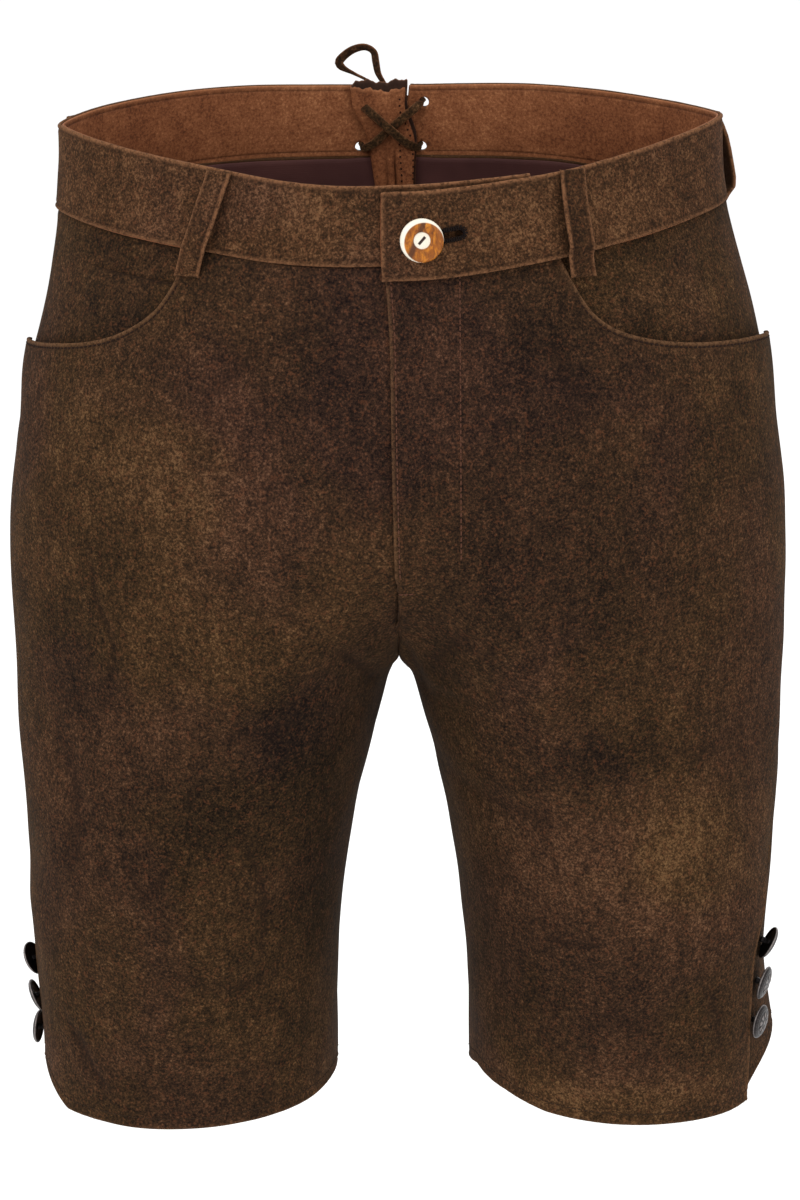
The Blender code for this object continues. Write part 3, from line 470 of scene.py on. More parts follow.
class Sheet:
    """A leather or cloth piece: its outer face as a grid of points, rows down and columns across."""

    def __init__(self, name, grid, hint):
        self.name, self.grid, self.fields = name, grid, {}
        self.stitches = {}  # rows of points and normals, by kind
        plain = grid_normals(grid, 1.0)
        self.way = 1.0 if (plain * hint).sum() > 0 else -1.0
        self.normals = plain * self.way

    def push(self, amount):
        """Moves the outer face out by an amount for each point."""
        self.grid = self.grid + self.normals * amount[..., None]
        self.normals = grid_normals(self.grid, self.way)

    def from_line(self, line):
        """Each point's distance from a line of points."""
        dense = resample(line, 0.5 * MM)
        tree = kdtree.KDTree(len(dense))
        for i, point in enumerate(dense):
            tree.insert(point, i)
        tree.balance()
        flat = self.grid.reshape(-1, 3)
        found = np.array([tree.find(point)[2] for point in flat.tolist()])
        return found.reshape(self.grid.shape[:2])

    def from_edges(self):
        """Each point's distances from the top, the bottom, the first column and the last one."""
        grid = self.grid
        return [self.from_line(line) for line in (grid[0], grid[-1], grid[:, 0], grid[:, -1])]

    def cut(self):
        """The width, the length and the area of the flat cut, with its turned edges."""
        across = np.linalg.norm(np.diff(self.grid, axis=1), axis=-1).sum(1).max()
        down = np.linalg.norm(np.diff(self.grid, axis=0), axis=-1).sum(0).max()
        sides = self.grid[1:, :-1] - self.grid[:-1, :-1], self.grid[:-1, 1:] - self.grid[:-1, :-1]
        area = np.linalg.norm(np.cross(*sides), axis=-1).sum()
        return float(across), float(down), float(min(1.02 * area, across * down))

    def mesh(self, thickness):
        """The closed shell, with a round rim between its two faces."""
        rows, columns = self.grid.shape[:2]
        inner = self.grid - self.normals * thickness
        r, c = np.concatenate([
            np.stack([np.zeros(columns, int), np.arange(columns)], 1),
            np.stack([np.arange(1, rows), np.full(rows - 1, columns - 1)], 1),
            np.stack([np.full(columns - 1, rows - 1), np.arange(columns - 2, -1, -1)], 1),
            np.stack([np.arange(rows - 2, 0, -1), np.zeros(rows - 2, int)], 1),
        ]).T  # fmt: skip
        out = unit(self.grid[r, c] - self.grid[np.clip(r, 1, rows - 2), np.clip(c, 1, columns - 2)])
        middle = (self.grid[r, c] + inner[r, c]) / 2 + out * (RIM_BULGE * thickness)
        points = np.concatenate([self.grid.reshape(-1, 3), inner.reshape(-1, 3), middle])
        total = rows * columns
        outer_faces, inner_faces = grid_faces(rows, columns), grid_faces(rows, columns, total)[:, ::-1]
        ring = np.arange(len(r))
        following = np.roll(ring, -1)
        outer_rim, inner_rim = r * columns + c, total + r * columns + c
        mid = 2 * total + ring
        upper = np.stack([outer_rim, mid, mid[following], outer_rim[following]], -1)
        lower = np.stack([mid, inner_rim, inner_rim[following], mid[following]], -1)
        # The rim runs clockwise as seen from the outer face when rows go down and columns across.
        faces = np.concatenate([outer_faces, inner_faces, upper[:, ::-1], lower[:, ::-1]])
        if self.way < 0:
            faces = faces[:, ::-1]
        fields = {}
        for name, values in self.fields.items():
            flat = np.broadcast_to(values, (rows, columns)).reshape(-1)
            fields[name] = np.concatenate([flat, flat, flat[outer_rim]])
        back = np.concatenate([np.zeros(total), np.ones(total), np.full(len(r), 0.5)])
        # On the gusset the back face carries painted shade: the faces inside its fold are darkened.
        fields["dark_flesh" if self.name == "gusset" else "flesh"] = back
        return mesh_of(self.name, points, faces, fields)


def resample(line, step):
    """The same line with points a step apart. Columns past the third ride along."""
    line = np.asarray(line)
    run = np.concatenate([[0.0], np.cumsum(np.linalg.norm(np.diff(line[:, :3], axis=0), axis=1))])
    count = max(2, int(round(run[-1] / step)) + 1)
    at = np.linspace(0.0, run[-1], count)
    return np.stack([np.interp(at, run, line[:, i]) for i in range(line.shape[1])], -1)


def smooth_route(points, step):
    """Points about a step apart on the same smooth curve that the model's cords follow."""
    route, last = [], len(points) - 1
    for i in range(last):
        before, a = points[max(i - 1, 0)], points[i]
        b, after = points[i + 1], points[min(i + 2, last)]
        pieces = max(1, round(float(np.linalg.norm(b - a)) / step))
        route += [hermite(k / pieces, a, (b - before) / 2, b, (after - a) / 2) for k in range(pieces)]
    route.append(points[-1])
    return np.array(route)


def contour(sheet, field, level, by_column, low=0, high=None):
    """Points and normals where a field crosses a level, one for each column (or row)."""
    grid, normals, values = sheet.grid, sheet.normals, field
    if not by_column:
        grid, normals, values = (np.swapaxes(v, 0, 1) for v in (grid, normals, values))
    found = []
    for j in range(low, grid.shape[1] if high is None else high):
        column = values[:, j] - level
        crossing = np.nonzero(column[:-1] * column[1:] <= 0)[0]
        if len(crossing):
            i = crossing[0]
            t = column[i] / (column[i] - column[i + 1] + 1e-12)
            found.append(np.concatenate([
                mix(grid[i, j], grid[i + 1, j], t), mix(normals[i, j], normals[i + 1, j], t)
            ]))  # fmt: skip
    return np.array(found)


# ---------------------------------------------------------------- stitches
STITCH_SIDES = 6
STITCH_SECTION = (
    # share of the length, radius share, height share
    (-0.50, 0.35, -0.9), (-0.42, 0.85, -0.1), (-0.20, 1.00, 0.45), (0.20, 1.00, 0.45),
    (0.42, 0.85, -0.1), (0.50, 0.35, -0.9),
)  # fmt: skip


def stitch_row(lines, pitch, length, radius):
    """Points and faces of a row of short sunk stitches along each line of points and normals."""
    turn = np.arange(STITCH_SIDES) * 2 * math.pi / STITCH_SIDES
    template = np.array([
        (share * length, math.cos(a) * r * radius, math.sin(a) * r * radius + h * radius)
        for share, r, h in STITCH_SECTION for a in turn
    ])  # fmt: skip
    size = len(template)
    caps = [list(range(STITCH_SIDES))[::-1], list(range(size - STITCH_SIDES, size))]
    body = grid_faces(len(STITCH_SECTION), STITCH_SIDES, 0, ring=True)[:, ::-1].tolist()
    points, faces = [], []
    for line in lines:
        dense = resample(line, pitch)
        middle = (dense[:-1, :3] + dense[1:, :3]) / 2
        ahead = unit(dense[1:, :3] - dense[:-1, :3])
        normal = dense[:-1, 3:] + dense[1:, 3:]
        normal = unit(normal - ahead * (normal * ahead).sum(-1, keepdims=True))
        across = np.cross(normal, ahead)
        made = (
            middle[:, None]
            + ahead[:, None] * template[None, :, :1]
            + across[:, None] * template[None, :, 1:2]
            + normal[:, None] * template[None, :, 2:]
        )
        for stitch in made:
            start = len(points)
            points.extend(stitch.tolist())
            faces.extend([[start + i for i in face] for face in body + caps])
    return np.array(points), faces


STITCHES = {
    # pitch, length, radius
    "plain": (3.0 * MM, 2.4 * MM, 0.40 * MM), "fly": (3.0 * MM, 2.4 * MM, 0.40 * MM),
    "hem": (3.0 * MM, 2.4 * MM, 0.30 * MM), "buttonhole": (2.1 * MM, 2.4 * MM, 0.50 * MM),
    "gusset": (3.4 * MM, 1.1 * MM, 0.45 * MM),
}  # fmt: skip


def add_stitches(name, lines, finish, kind):
    add_object(name, mesh_of(name, *stitch_row(lines, *STITCHES[kind])), finish)


# ---------------------------------------------------------------- seams and edges
def turned_edge(distance, height=0.35 * MM, stitch_at=STITCH_INSET):
    """A folded edge: rounded over, a little raised, with a groove under its stitches."""
    return (
        height * bump_at((distance - 0.9 * MM) / (0.9 * MM))
        - 1.1 * height * bump_at(distance / (0.45 * MM))
        - 0.75 * height * bump_at((distance - stitch_at) / (0.55 * MM))
        + 0.30 * height * bump_at((distance - stitch_at - 1.5 * MM) / (1.2 * MM))
    )


def plain_seam(distance, depth=0.8 * MM, reach=1.4 * MM):
    """A seam sewn from inside: the leather turns in to it."""
    return -depth * np.exp(-distance / reach) + 0.18 * MM * bump_at((distance - 3.2 * MM) / (2.0 * MM))


def steps(*spans):
    """Distances from an edge: each span is (to, step), in mm."""
    values, at = [0.0], 0.0
    for to, step in spans:
        count = max(1, round((to - at) / step))
        values += [at + (to - at) * (i + 1) / count for i in range(count)]
        at = to
    return np.array(values) * MM


EDGE_STEPS = steps((3.6, 0.6), (7.2, 0.9))
NO_DISTANCE = 1e-7  # nearly nothing, but with a direction


def meet_in_the_middle(sheet, side, where):
    """Brings the first column to the middle plane, so that the two halves touch along their seam."""
    edge = sheet.grid[:, 0]
    middle = along(LEAN, edge[:, 2], 1) - side * 0.25 * MM
    sheet.grid[:, 0, 0] = np.where(where, middle, edge[:, 0])


# ---------------------------------------------------------------- grids of the panels
def heights(top, bottom, through=None, top_steps=EDGE_STEPS):
    """Row heights for each column: fine beside both edges, even between, with a row through a height
    at the first column."""
    high, low = top - top_steps[-1], bottom + EDGE_STEPS[-1]
    stops = [high[0], low[0]] if through is None else [high[0], through, low[0]]
    levels = [high[0]]
    for a, b in zip(stops, stops[1:], strict=False):
        count = max(1, round(abs(b - a) / PANEL_STEP))
        levels += [mix(a, b, (i + 1) / count) for i in range(count)]
    share = (np.array(levels) - high[0]) / (low[0] - high[0])
    between = mix(high[None], low[None], share[1:-1, None])
    return np.concatenate([top - top_steps[:, None], between, bottom + EDGE_STEPS[::-1, None]])


def columns_of(width, spacing):
    """Shares across a panel: fine beside both edges and even between."""
    first, last = EDGE_STEPS / width, 1 - EDGE_STEPS[::-1] / width
    count = max(2, round((last[0] - first[-1]) * width / spacing))
    return np.concatenate([first, np.linspace(first[-1], last[0], count + 1)[1:-1], last])


def girths_between(side, z, first, last):
    """The girths of a grid: true distances beside both edges, even between."""
    way = 1 if np.mean(last) > np.mean(first) else -1
    fine, count = len(EDGE_STEPS), z.shape[1]
    u = np.empty(z.shape)
    for j, step in enumerate(np.maximum(EDGE_STEPS, NO_DISTANCE)):
        k = count - 1 - j
        u[:, j] = along_girth(side, first[:, j], z[:, j], way * step)
        u[:, k] = along_girth(side, last[:, k], z[:, k], -way * step)
    middle = slice(fine, count - fine)
    near = along_girth(side, first[:, middle], z[:, middle], way * EDGE_STEPS[-1])
    far = along_girth(side, last[:, middle], z[:, middle], -way * EDGE_STEPS[-1])
    share = (np.arange(count)[middle] - fine + 1) / (count - 2 * fine + 1)
    u[:, middle] = mix(near, far, share)
    return u


def mouth(side, u):
    """The height of the front panel's top edge: the waist seam, then the pocket mouth."""
    seam = round_the_waist(side, BAND_BOTTOM, u)
    curve = np.minimum(seam, along(POCKET, u, 2, first=POCKET_COLUMN[side]))
    return np.where(u <= POCKET[0][POCKET_COLUMN[side]], seam, curve)


def vent_open(z):
    return ease((VENT_TOP_Z + 0.040 - z) / 0.030)


def front_proud(side, u, z):
    start = POCKET[1][POCKET_COLUMN[side]]
    down = mouth(side, np.maximum(u, start)) - z
    proud = MOUTH_GAPE * ease((u - start) / (1 - start)) * (1 - ease(down / 0.045))
    proud = proud + (LEATHER + VENT_GAP) * vent_open(z) * ease((u / outseam(side, z) - 0.70) / 0.22)
    if side == LEFT:
        lapped = 1 - ease((surface(LEFT, u, z)[..., 0] - 1 * MM) / (9 * MM))
        proud = proud + FLY_RISE * lapped * (1 - ease((FLY_END_Z - 0.014 - z) / 0.018))
    return proud


def fly_lap(z):
    top, bottom = BAND_BOTTOM[0], FLY_END_Z
    lap = mix(FLY_EDGE, 0.4 * FLY_EDGE, clamp01((top - z) / (top - bottom)))
    return lap * (1 - ease((bottom + 0.006 - z) / 0.012))


# ---------------------------------------------------------------- creases
# Soft troughs in the leather, as it hung: the route (mm across, mm up), width, depth, and the share
# of a ridge beside it. Each trough is also darkened with painted shade.
CREASES = {
    "front_right": (
        (((-150, -196), (-146, -225), (-138, -246), (-143, -278)), 1.6, 0.75, 0.6),
        (((-139, -346), (-133, -362), (-124, -373), (-116, -361), (-109, -348)), 1.8, 0.8, 0.7),
        (((-96, -291), (-72, -289), (-46, -284)), 6.0, 0.8, 0.4),
        (((-75, -347), (-70, -362), (-67, -380), (-70, -412)), 1.7, 0.6, 0.6),
        (((-30, -246), (-18, -262), (-10, -277)), 5.0, 1.1, 0.6),
        (((-168, -300), (-160, -330), (-163, -365)), 6.0, 0.9, 0.4),
        (((-120, -410), (-90, -424), (-62, -420)), 9.0, 0.9, 0.3),
        (((-60, -96), (-84, -118), (-92, -150)), 10.0, 0.7, 0.3),
        (((-164, -455), (-158, -470), (-150, -486)), 2.6, 0.9, 0.7),
        (((-172, -448), (-164, -462), (-160, -480)), 2.2, 0.7, 0.5),
    ),
    "front_left": (
        (((72, -398), (86, -402), (104, -399)), 2.0, 0.5, 0.5),
        (((18, -322), (46, -331), (76, -334)), 7.0, 1.0, 0.4),
        (((4, -252), (9, -268), (14, -284)), 2.4, 1.2, 0.8),
        (((34, -236), (20, -254), (12, -272)), 6.0, 1.0, 0.5),
        (((120, -300), (150, -306), (172, -298)), 10.0, 0.9, 0.3),
        (((60, -90), (82, -112), (86, -140)), 9.0, 0.6, 0.3),
        (((150, -425), (158, -445), (160, -470)), 5.0, 0.8, 0.5),
        (((90, -440), (118, -446), (140, -438)), 10.0, 0.8, 0.3),
    ),
    "back_right": (
        (((-60, -232), (-84, -246), (-112, -250)), 9.0, 1.5, 0.4),
        (((-26, -262), (-44, -282), (-74, -294)), 7.0, 1.6, 0.5),
        (((-36, -300), (-66, -318), (-104, -320)), 10.0, 1.4, 0.4),
        (((-150, -330), (-120, -342), (-92, -338)), 6.0, 0.9, 0.5),
        (((-70, -390), (-74, -420), (-66, -452)), 5.0, 0.8, 0.5),
        (((-40, -70), (-58, -96), (-62, -126)), 9.0, 0.8, 0.3),
    ),
    "back_left": (
        (((52, -226), (80, -242), (118, -242)), 9.0, 1.4, 0.4),
        (((24, -266), (48, -286), (82, -300)), 8.0, 1.6, 0.5),
        (((40, -310), (64, -322), (98, -330)), 8.0, 1.3, 0.4),
        (((136, -352), (112, -360), (92, -352)), 5.0, 0.8, 0.5),
        (((84, -404), (80, -430), (86, -458)), 5.0, 0.9, 0.5),
        (((44, -64), (60, -92), (60, -124)), 9.0, 0.8, 0.3),
    ),
}


def creases(grid, rows):
    """How far the creases push the leather in, at each point of the grid seen from the front, and how
    strongly painted shade darkens each crease.
    """
    flat = grid[..., [0, 2]] / MM
    amount, dark = np.zeros(grid.shape[:2]), np.zeros(grid.shape[:2])
    for route, width, depth, ridge in rows:
        line = smooth_route([np.array(point, float) for point in route], 3.0)
        nearest = np.full(grid.shape[:2], 1e9)
        sideways, run = np.zeros(grid.shape[:2]), np.zeros(grid.shape[:2])
        for i, (a, b) in enumerate(zip(line, line[1:], strict=False)):
            way = b - a
            t = clamp01(((flat - a) @ way) / (way @ way))
            gap = flat - (a + t[..., None] * way)
            far = np.linalg.norm(gap, axis=-1)
            closer = far < nearest
            nearest = np.where(closer, far, nearest)
            cross = way[0] * gap[..., 1] - way[1] * gap[..., 0]
            sideways = np.where(closer, np.copysign(far, cross), sideways)
            run = np.where(closer, (i + t) / (len(line) - 1), run)
        fade = np.sin(math.pi * clamp01(0.08 + 0.84 * run)) ** 0.8
        beside = bump_at((sideways - 1.9 * width) / (1.5 * width))
        beside += 0.6 * bump_at((sideways + 2.1 * width) / (1.8 * width))
        amount += fade * depth * MM * (ridge * beside - bump_at(nearest / width))
        dark = np.maximum(dark, fade * clamp01(4.5 / width) * bump_at(nearest / max(1.5, 0.5 * width)))
    return amount, dark


def waves(grid, size, height, seed):
    """A gentle unevenness: a few crossed sine waves, different for each seed."""
    rng = np.random.default_rng(seed)
    total = np.zeros(grid.shape[:2])
    for _ in range(7):
        way = unit(rng.normal(size=3)) * 2 * math.pi / (size * rng.uniform(0.6, 1.7))
        total += np.sin(grid @ way + rng.uniform(0, 6.3))
    return total * height / 7


# ---------------------------------------------------------------- pieces: panels
PANEL_STEP = 2.2 * MM
BAND_STEP = 2.4 * MM
PANEL_WIDTHS = {"front": 0.255, "back": 0.265}
BAND_LENGTH = 0.46
MOUTH_STEPS = steps((4.0, 0.6), (16.0, 1.0))


def front_panel(side):
    name = f"front_{SIDE_NAME[side]}"
    share = columns_of(PANEL_WIDTHS["front"], PANEL_STEP)
    z = heights(mouth(side, share), hem(side, share, "front"), CROTCH_Z, MOUTH_STEPS)
    first = np.zeros(z.shape)
    if side == LEFT:
        lapped = fly_lap(z) > 0
        first = np.where(lapped, girth_at(-fly_lap(z), np.where(lapped, z, -0.1)), 0.0)
    u = girths_between(side, z, first, outseam(side, z))
    sheet = Sheet(name, place(side, u, z, front_proud(side, u, z)), outward(side, u, z))
    from_mouth, from_hem, inner, outer = sheet.from_edges()
    mouth_start = POCKET[0][POCKET_COLUMN[side]]
    pocket = ease((share - mouth_start + 0.02) / 0.02)[None]
    fly = (z > FLY_END_Z) & (side == LEFT)
    vent = vent_open(z)
    folds, dark = creases(sheet.grid, CREASES[name])
    relief = folds + waves(sheet.grid, 0.055, 0.9 * MM, 3 + side)
    relief += mix(plain_seam(from_mouth, 0.5 * MM), turned_edge(from_mouth), pocket)
    relief += np.where(fly, turned_edge(inner), plain_seam(inner))
    relief += mix(plain_seam(outer), turned_edge(outer), vent)
    relief += turned_edge(from_hem, 0.3 * MM, HEM_INSET)
    sheet.push(relief)
    meet_in_the_middle(sheet, side, (z[:, 0] > CROTCH_Z) & ~fly[:, 0])
    wear = np.maximum(0.6 * bump_at(from_hem / (1.0 * MM)), pocket * bump_at(from_mouth / (2.2 * MM)))
    wear = np.maximum(wear, np.where(fly, 0.7, 0.25) * bump_at(inner / (1.3 * MM)))
    wear = np.maximum(wear, vent * bump_at(outer / (2.2 * MM)))
    # Painted shade in the hollow of the middle seam and in the stitch groove under the pocket mouth.
    dark = np.maximum(dark, 0.7 * bump_at(inner / (0.9 * MM)) * ~fly)
    dark = np.maximum(dark, 0.55 * pocket * bump_at((from_mouth - STITCH_INSET) / (0.8 * MM)))
    sheet.fields = {"tone": spots(sheet.grid, TONES["front"]), "wear": wear, "groove_shade": dark}
    sheet.fields["cast"] = spots(sheet.grid, PURPLE)
    first_column, last_column = np.searchsorted(share, mouth_start), len(share) - 2
    mouth_row = contour(sheet, from_mouth, STITCH_INSET, True, first_column, last_column)
    sheet.stitches = {"hem": [contour(sheet, from_hem, HEM_INSET, True)], "plain": [mouth_row]}
    if side == LEFT:
        edge_row = contour(sheet, inner, STITCH_INSET, False)
        second = contour(sheet, sheet.grid[..., 0], FLY_ROW_X, False, 3)
        bar = contour(sheet, sheet.grid[..., 2], FLY_END_Z - 5.5 * MM, True)
        sheet.stitches["fly"] = [
            edge_row[edge_row[:, 2] > FLY_END_Z + 2 * MM],
            second[second[:, 2] > FLY_ROW_END_Z],
            bar[(bar[:, 0] > 0.0) & (bar[:, 0] < 8.5 * MM)],
        ]
    return sheet


def notch(z):
    return NOTCH_TOP * clamp01((z - NOTCH_END_Z) / (BAND_TOP[2] - NOTCH_END_Z))


def back_panel(side):
    name = f"back_{SIDE_NAME[side]}"
    share = columns_of(PANEL_WIDTHS["back"], PANEL_STEP)
    top = round_the_waist(side, BAND_BOTTOM, 2 - share)
    z = heights(top, hem(side, share, "back"), CROTCH_Z)
    beside_notch = back_girth_at(np.maximum(notch(z), 1e-6), np.maximum(z, NOTCH_END_Z))
    first = np.where(z > NOTCH_END_Z, np.minimum(beside_notch, 2.0), 2.0)
    lapped = VENT_LAP * ease((VENT_TOP_Z - z) / 0.020)
    last = along_girth(side, outseam(side, z), z, -np.maximum(lapped, NO_DISTANCE))
    u = girths_between(side, z, first, last)
    sheet = Sheet(name, place(side, u, z, flare(side, u, z)), outward(side, u, z))
    from_top, from_hem, inner, outer = sheet.from_edges()
    vent = ease((VENT_TOP_Z - z) / 0.010)
    at_notch = ease((z - NOTCH_END_Z) / 0.010)
    folds, dark = creases(sheet.grid, CREASES[name])
    relief = folds + waves(sheet.grid, 0.060, 1.0 * MM, 11 + side)
    relief += plain_seam(from_top, 0.5 * MM) + mix(plain_seam(outer), turned_edge(outer), vent)
    relief += mix(plain_seam(inner), turned_edge(inner), at_notch)
    relief += turned_edge(from_hem, 0.3 * MM, HEM_INSET)
    sheet.push(relief)
    meet_in_the_middle(sheet, side, (z[:, 0] > CROTCH_Z) & (z[:, 0] < NOTCH_END_Z))
    wear = np.maximum(0.6 * bump_at(from_hem / (1.0 * MM)), 0.3 * bump_at(inner / (1.3 * MM)))
    wear = np.maximum(wear, vent * bump_at(outer / (2.0 * MM)))
    # Painted shade in the hollow of the middle seam.
    dark = np.maximum(dark, 0.6 * bump_at(inner / (0.9 * MM)))
    sheet.fields = {"tone": spots(sheet.grid, TONES["back"]), "wear": wear, "groove_shade": dark}
    seam_row = contour(sheet, inner, 2.6 * MM, False)
    seam_row = seam_row[seam_row[:, 2] > CROTCH_Z + 0.020]
    sheet.stitches = {"hem": [contour(sheet, from_hem, HEM_INSET, True)], "plain": [seam_row]}
    return sheet


# Soft lighter (+) and darker (-) places of the suede. The two small dark places beside the middle just
# above the crotch are painted shade.
TONES = {
    # x mm, z mm, reach across, reach up, amount
    "front": (
        (-97, -172, 45, 38, 0.75), (-150, -155, 25, 40, 0.35), (-100, -245, 38, 30, 0.55),
        (-50, -290, 28, 26, -0.95), (-78, -322, 34, 22, -0.70), (-108, -350, 42, 24, -0.50),
        (-42, -375, 13, 55, -0.90), (-160, -262, 12, 40, -0.35), (-25, -112, 28, 52, -0.65),
        (62, -112, 40, 50, -0.60), (14, -100, 12, 60, -0.15), (64, -205, 52, 34, -0.65),
        (97, -303, 34, 15, -0.90), (75, -357, 34, 26, 0.45), (140, -360, 34, 46, 0.80),
        (100, -430, 60, 26, -0.30), (107, -484, 70, 14, 0.75), (-105, -484, 62, 14, -0.25),
        (-128, -424, 42, 24, 0.20), (22, -262, 10, 22, -0.50), (-14, -262, 10, 22, -0.50),
    ),
    "back": (
        (-90, -150, 50, 45, 0.60), (80, -130, 45, 40, 0.45), (-60, -265, 30, 30, -0.80),
        (70, -280, 34, 28, -0.80), (110, -380, 36, 50, 0.60), (-110, -380, 40, 40, -0.45),
        (0, -120, 16, 60, -0.40), (-90, -470, 60, 16, 0.50), (90, -465, 60, 16, -0.30),
    ),
    "band": (
        (-110, -40, 18, 20, 0.35), (-60, -45, 12, 14, -0.30), (-20, -48, 14, 18, 0.30),
        (30, -50, 10, 10, 0.35), (58, -42, 12, 14, 0.30), (44, -56, 9, 6, -0.40),
        (110, -36, 16, 14, 0.35), (140, -24, 14, 20, -0.25),
    ),
    "hip": (
        (-136, -100, 24, 22, -0.90), (-160, -80, 12, 40, 0.30), (-140, -62, 26, 8, -0.20),
        (138, -84, 24, 16, 0.45), (116, -98, 16, 14, -0.60), (150, -108, 22, 10, -0.50),
    ),
}  # fmt: skip
# Where the brown leans to purple.
PURPLE = ((10, -112, 95, 62, 1.0), (70, -200, 60, 50, 0.5), (-30, -60, 60, 20, 0.4))


def spots(grid, rows):
    """How strongly each point of the grid, seen from the front, lies in soft oval places."""
    x, z = grid[..., 0] / MM, grid[..., 2] / MM
    total = np.zeros(x.shape)
    for at_x, at_z, reach_x, reach_z, amount in rows:
        total += amount * np.exp(-(((x - at_x) / reach_x) ** 2) - ((z - at_z) / reach_z) ** 2)
    return total


# ---------------------------------------------------------------- pieces: waistband
def lap_share(x):
    return 1 - ease((x - UNDERLAP_X) / (LAP_FADE_X - UNDERLAP_X))


def band_edges(side, u):
    top, bottom = round_the_waist(side, BAND_TOP, u), round_the_waist(side, BAND_BOTTOM, u)
    if side == LEFT:
        x = surface(LEFT, u, top)[..., 0]
        down = (1 - ease((x - LAP_END_X) / (LAP_FADE_X - LAP_END_X))) * (u < 1)
        top, bottom = top - LAP_DROP[0] * down, bottom - LAP_DROP[1] * down
    return top, bottom


def band_sheet(name, side, proud, inside):
    """The band or its facing, from the front end to the notch."""
    front_end = float(girth_at(LAP_END_X, BAND_TOP[0]))
    if side == RIGHT:
        front_end = -float(girth_at(UNDERLAP_X - 8 * MM, BAND_TOP[0]))
    notch_edge = float(back_girth_at(notch(BAND_TOP[2]), BAND_TOP[2]))
    share = columns_of(BAND_LENGTH, BAND_STEP)
    rough = mix(front_end, notch_edge, share)
    top, bottom = band_edges(side, rough)
    if inside:
        top, bottom = top - 0.6 * MM, round_the_waist(side, BAND_BOTTOM, rough)
    z = heights(top, bottom)
    last = back_girth_at(notch(z), z)
    u = girths_between(side, z, np.full(z.shape, front_end), last)
    lap = lap_share(surface(LEFT, u, z)[..., 0]) * (u < 1) if side == LEFT else 0.0 * u
    return Sheet(name, place(side, u, z, mix(*proud, lap)), outward(side, u, z))


def waistband(side):
    sheet = band_sheet(f"waistband_{SIDE_NAME[side]}", side, (BAND_PROUD, LAPPED_BAND), False)
    from_top, from_bottom, first, last = edges = sheet.from_edges()
    relief = waves(sheet.grid, 0.030, 0.35 * MM, 21 + side)
    for distance in edges:
        relief += turned_edge(distance)
    sheet.push(relief)
    at_front = mix(0.25, 1.0, ease((0.03 - sheet.grid[..., 1]) / 0.05))
    wear = at_front * bump_at(from_top / (1.5 * MM)) + 0.75 * bump_at(from_bottom / (1.2 * MM))
    wear = np.maximum(wear, 0.8 * bump_at(first / (1.4 * MM)))
    wear = np.maximum(wear, 0.5 * bump_at(last / (1.4 * MM)))
    # Painted shade in the stitch grooves along the top, the bottom and the front end.
    dark = 0.5 * np.maximum.reduce([bump_at((d - STITCH_INSET) / (0.7 * MM)) for d in edges[:3]])
    sheet.fields = {"tone": spots(sheet.grid, TONES["band"]), "wear": clamp01(wear), "groove_shade": dark}
    return sheet


def facing(side):
    sheet = band_sheet(f"facing_{SIDE_NAME[side]}", side, FACING_PROUD, True)
    from_top, from_bottom, _, last = sheet.from_edges()
    beside_middle = bump_at((np.abs(sheet.grid[..., 0]) - 46 * MM) / (34 * MM))
    # Its good side looks into the garment, so its stitch grooves are not pushed in but painted as shade
    # along both rows.
    sheet.fields = {
        "groove_shade": 0.7 * sum(bump_at((d - STITCH_INSET) / (0.6 * MM)) for d in (from_top, from_bottom)),
        "tone": 0.5 * beside_middle * (sheet.grid[..., 1] > 0),
        "wear": clamp01(bump_at(from_top / MM) + bump_at(from_bottom / MM) + bump_at(last / MM)),
    }
    return sheet


# ---------------------------------------------------------------- pieces: pockets, fly, lining
COLUMNS = {"pocket_facing": 96, "coin_pocket": 44, "fly_facing": 20, "lining": 120}
ROWS = {"fly_facing": 70, "lining": 60, "gusset": 70}


def hip_facing_proud(side, u, z):
    under = -(LEATHER + PLY_GAP + COIN_LEATHER + 0.4 * MM)
    start = POCKET[1][POCKET_COLUMN[side]]
    flush = ease((u - start) / (1 - start))
    below_mouth = ease((mouth(side, np.maximum(u, start)) + 5 * MM - z) / (20 * MM))
    return mix(under * (1 - 0.88 * flush), under, below_mouth)


def pocket_facing(side):
    share = np.linspace(0.0, 1.0, COLUMNS["pocket_facing"])
    rough = mix(HIP_FACING_FROM, 1.0, share)
    top = round_the_waist(side, BAND_BOTTOM, rough)
    z = heights(top, np.full(top.shape, HIP_FACING_BOTTOM_Z))
    u = mix(HIP_FACING_FROM, outseam(side, z), share[None])
    sheet = Sheet(
        f"pocket_facing_{SIDE_NAME[side]}", place(side, u, z, hip_facing_proud(side, u, z)),
        outward(side, u, z),
    )  # fmt: skip
    from_top, _, _, outer = sheet.from_edges()
    uneven = waves(sheet.grid, 0.03, 0.4 * MM, 31 + side)
    sheet.push(plain_seam(from_top, 0.5 * MM) + plain_seam(outer) + uneven)
    sheet.fields = {"tone": spots(sheet.grid, TONES["hip"]), "wear": 0.2 * bump_at(from_top / MM)}
    return sheet


def coin_pocket():
    near, far = COIN_POCKET
    share = np.linspace(0.0, 1.0, COLUMNS["coin_pocket"])
    u_line, top, bottom = (mix(a, b, share) for a, b in zip(near, far, strict=True))
    z = heights(top, bottom)
    u = np.broadcast_to(u_line, z.shape)
    proud = hip_facing_proud(RIGHT, u, z) + COIN_LEATHER + 0.35 * MM
    sheet = Sheet("coin_pocket", place(RIGHT, u, z, proud), outward(RIGHT, u, z))
    from_top, _, _, outer = sheet.from_edges()
    sheet.push(turned_edge(from_top, 0.25 * MM) - 0.75 * MM * bump_at(outer / (9 * MM)))
    # Painted shade along the pocket's top edge, fading towards its far end.
    dark = 0.8 * bump_at(from_top / (0.9 * MM)) * (1 - bump_at(outer / (8 * MM)))
    sheet.fields = {"tone": spots(sheet.grid, TONES["hip"]), "wear": 0.0 * dark, "groove_shade": dark}
    return sheet


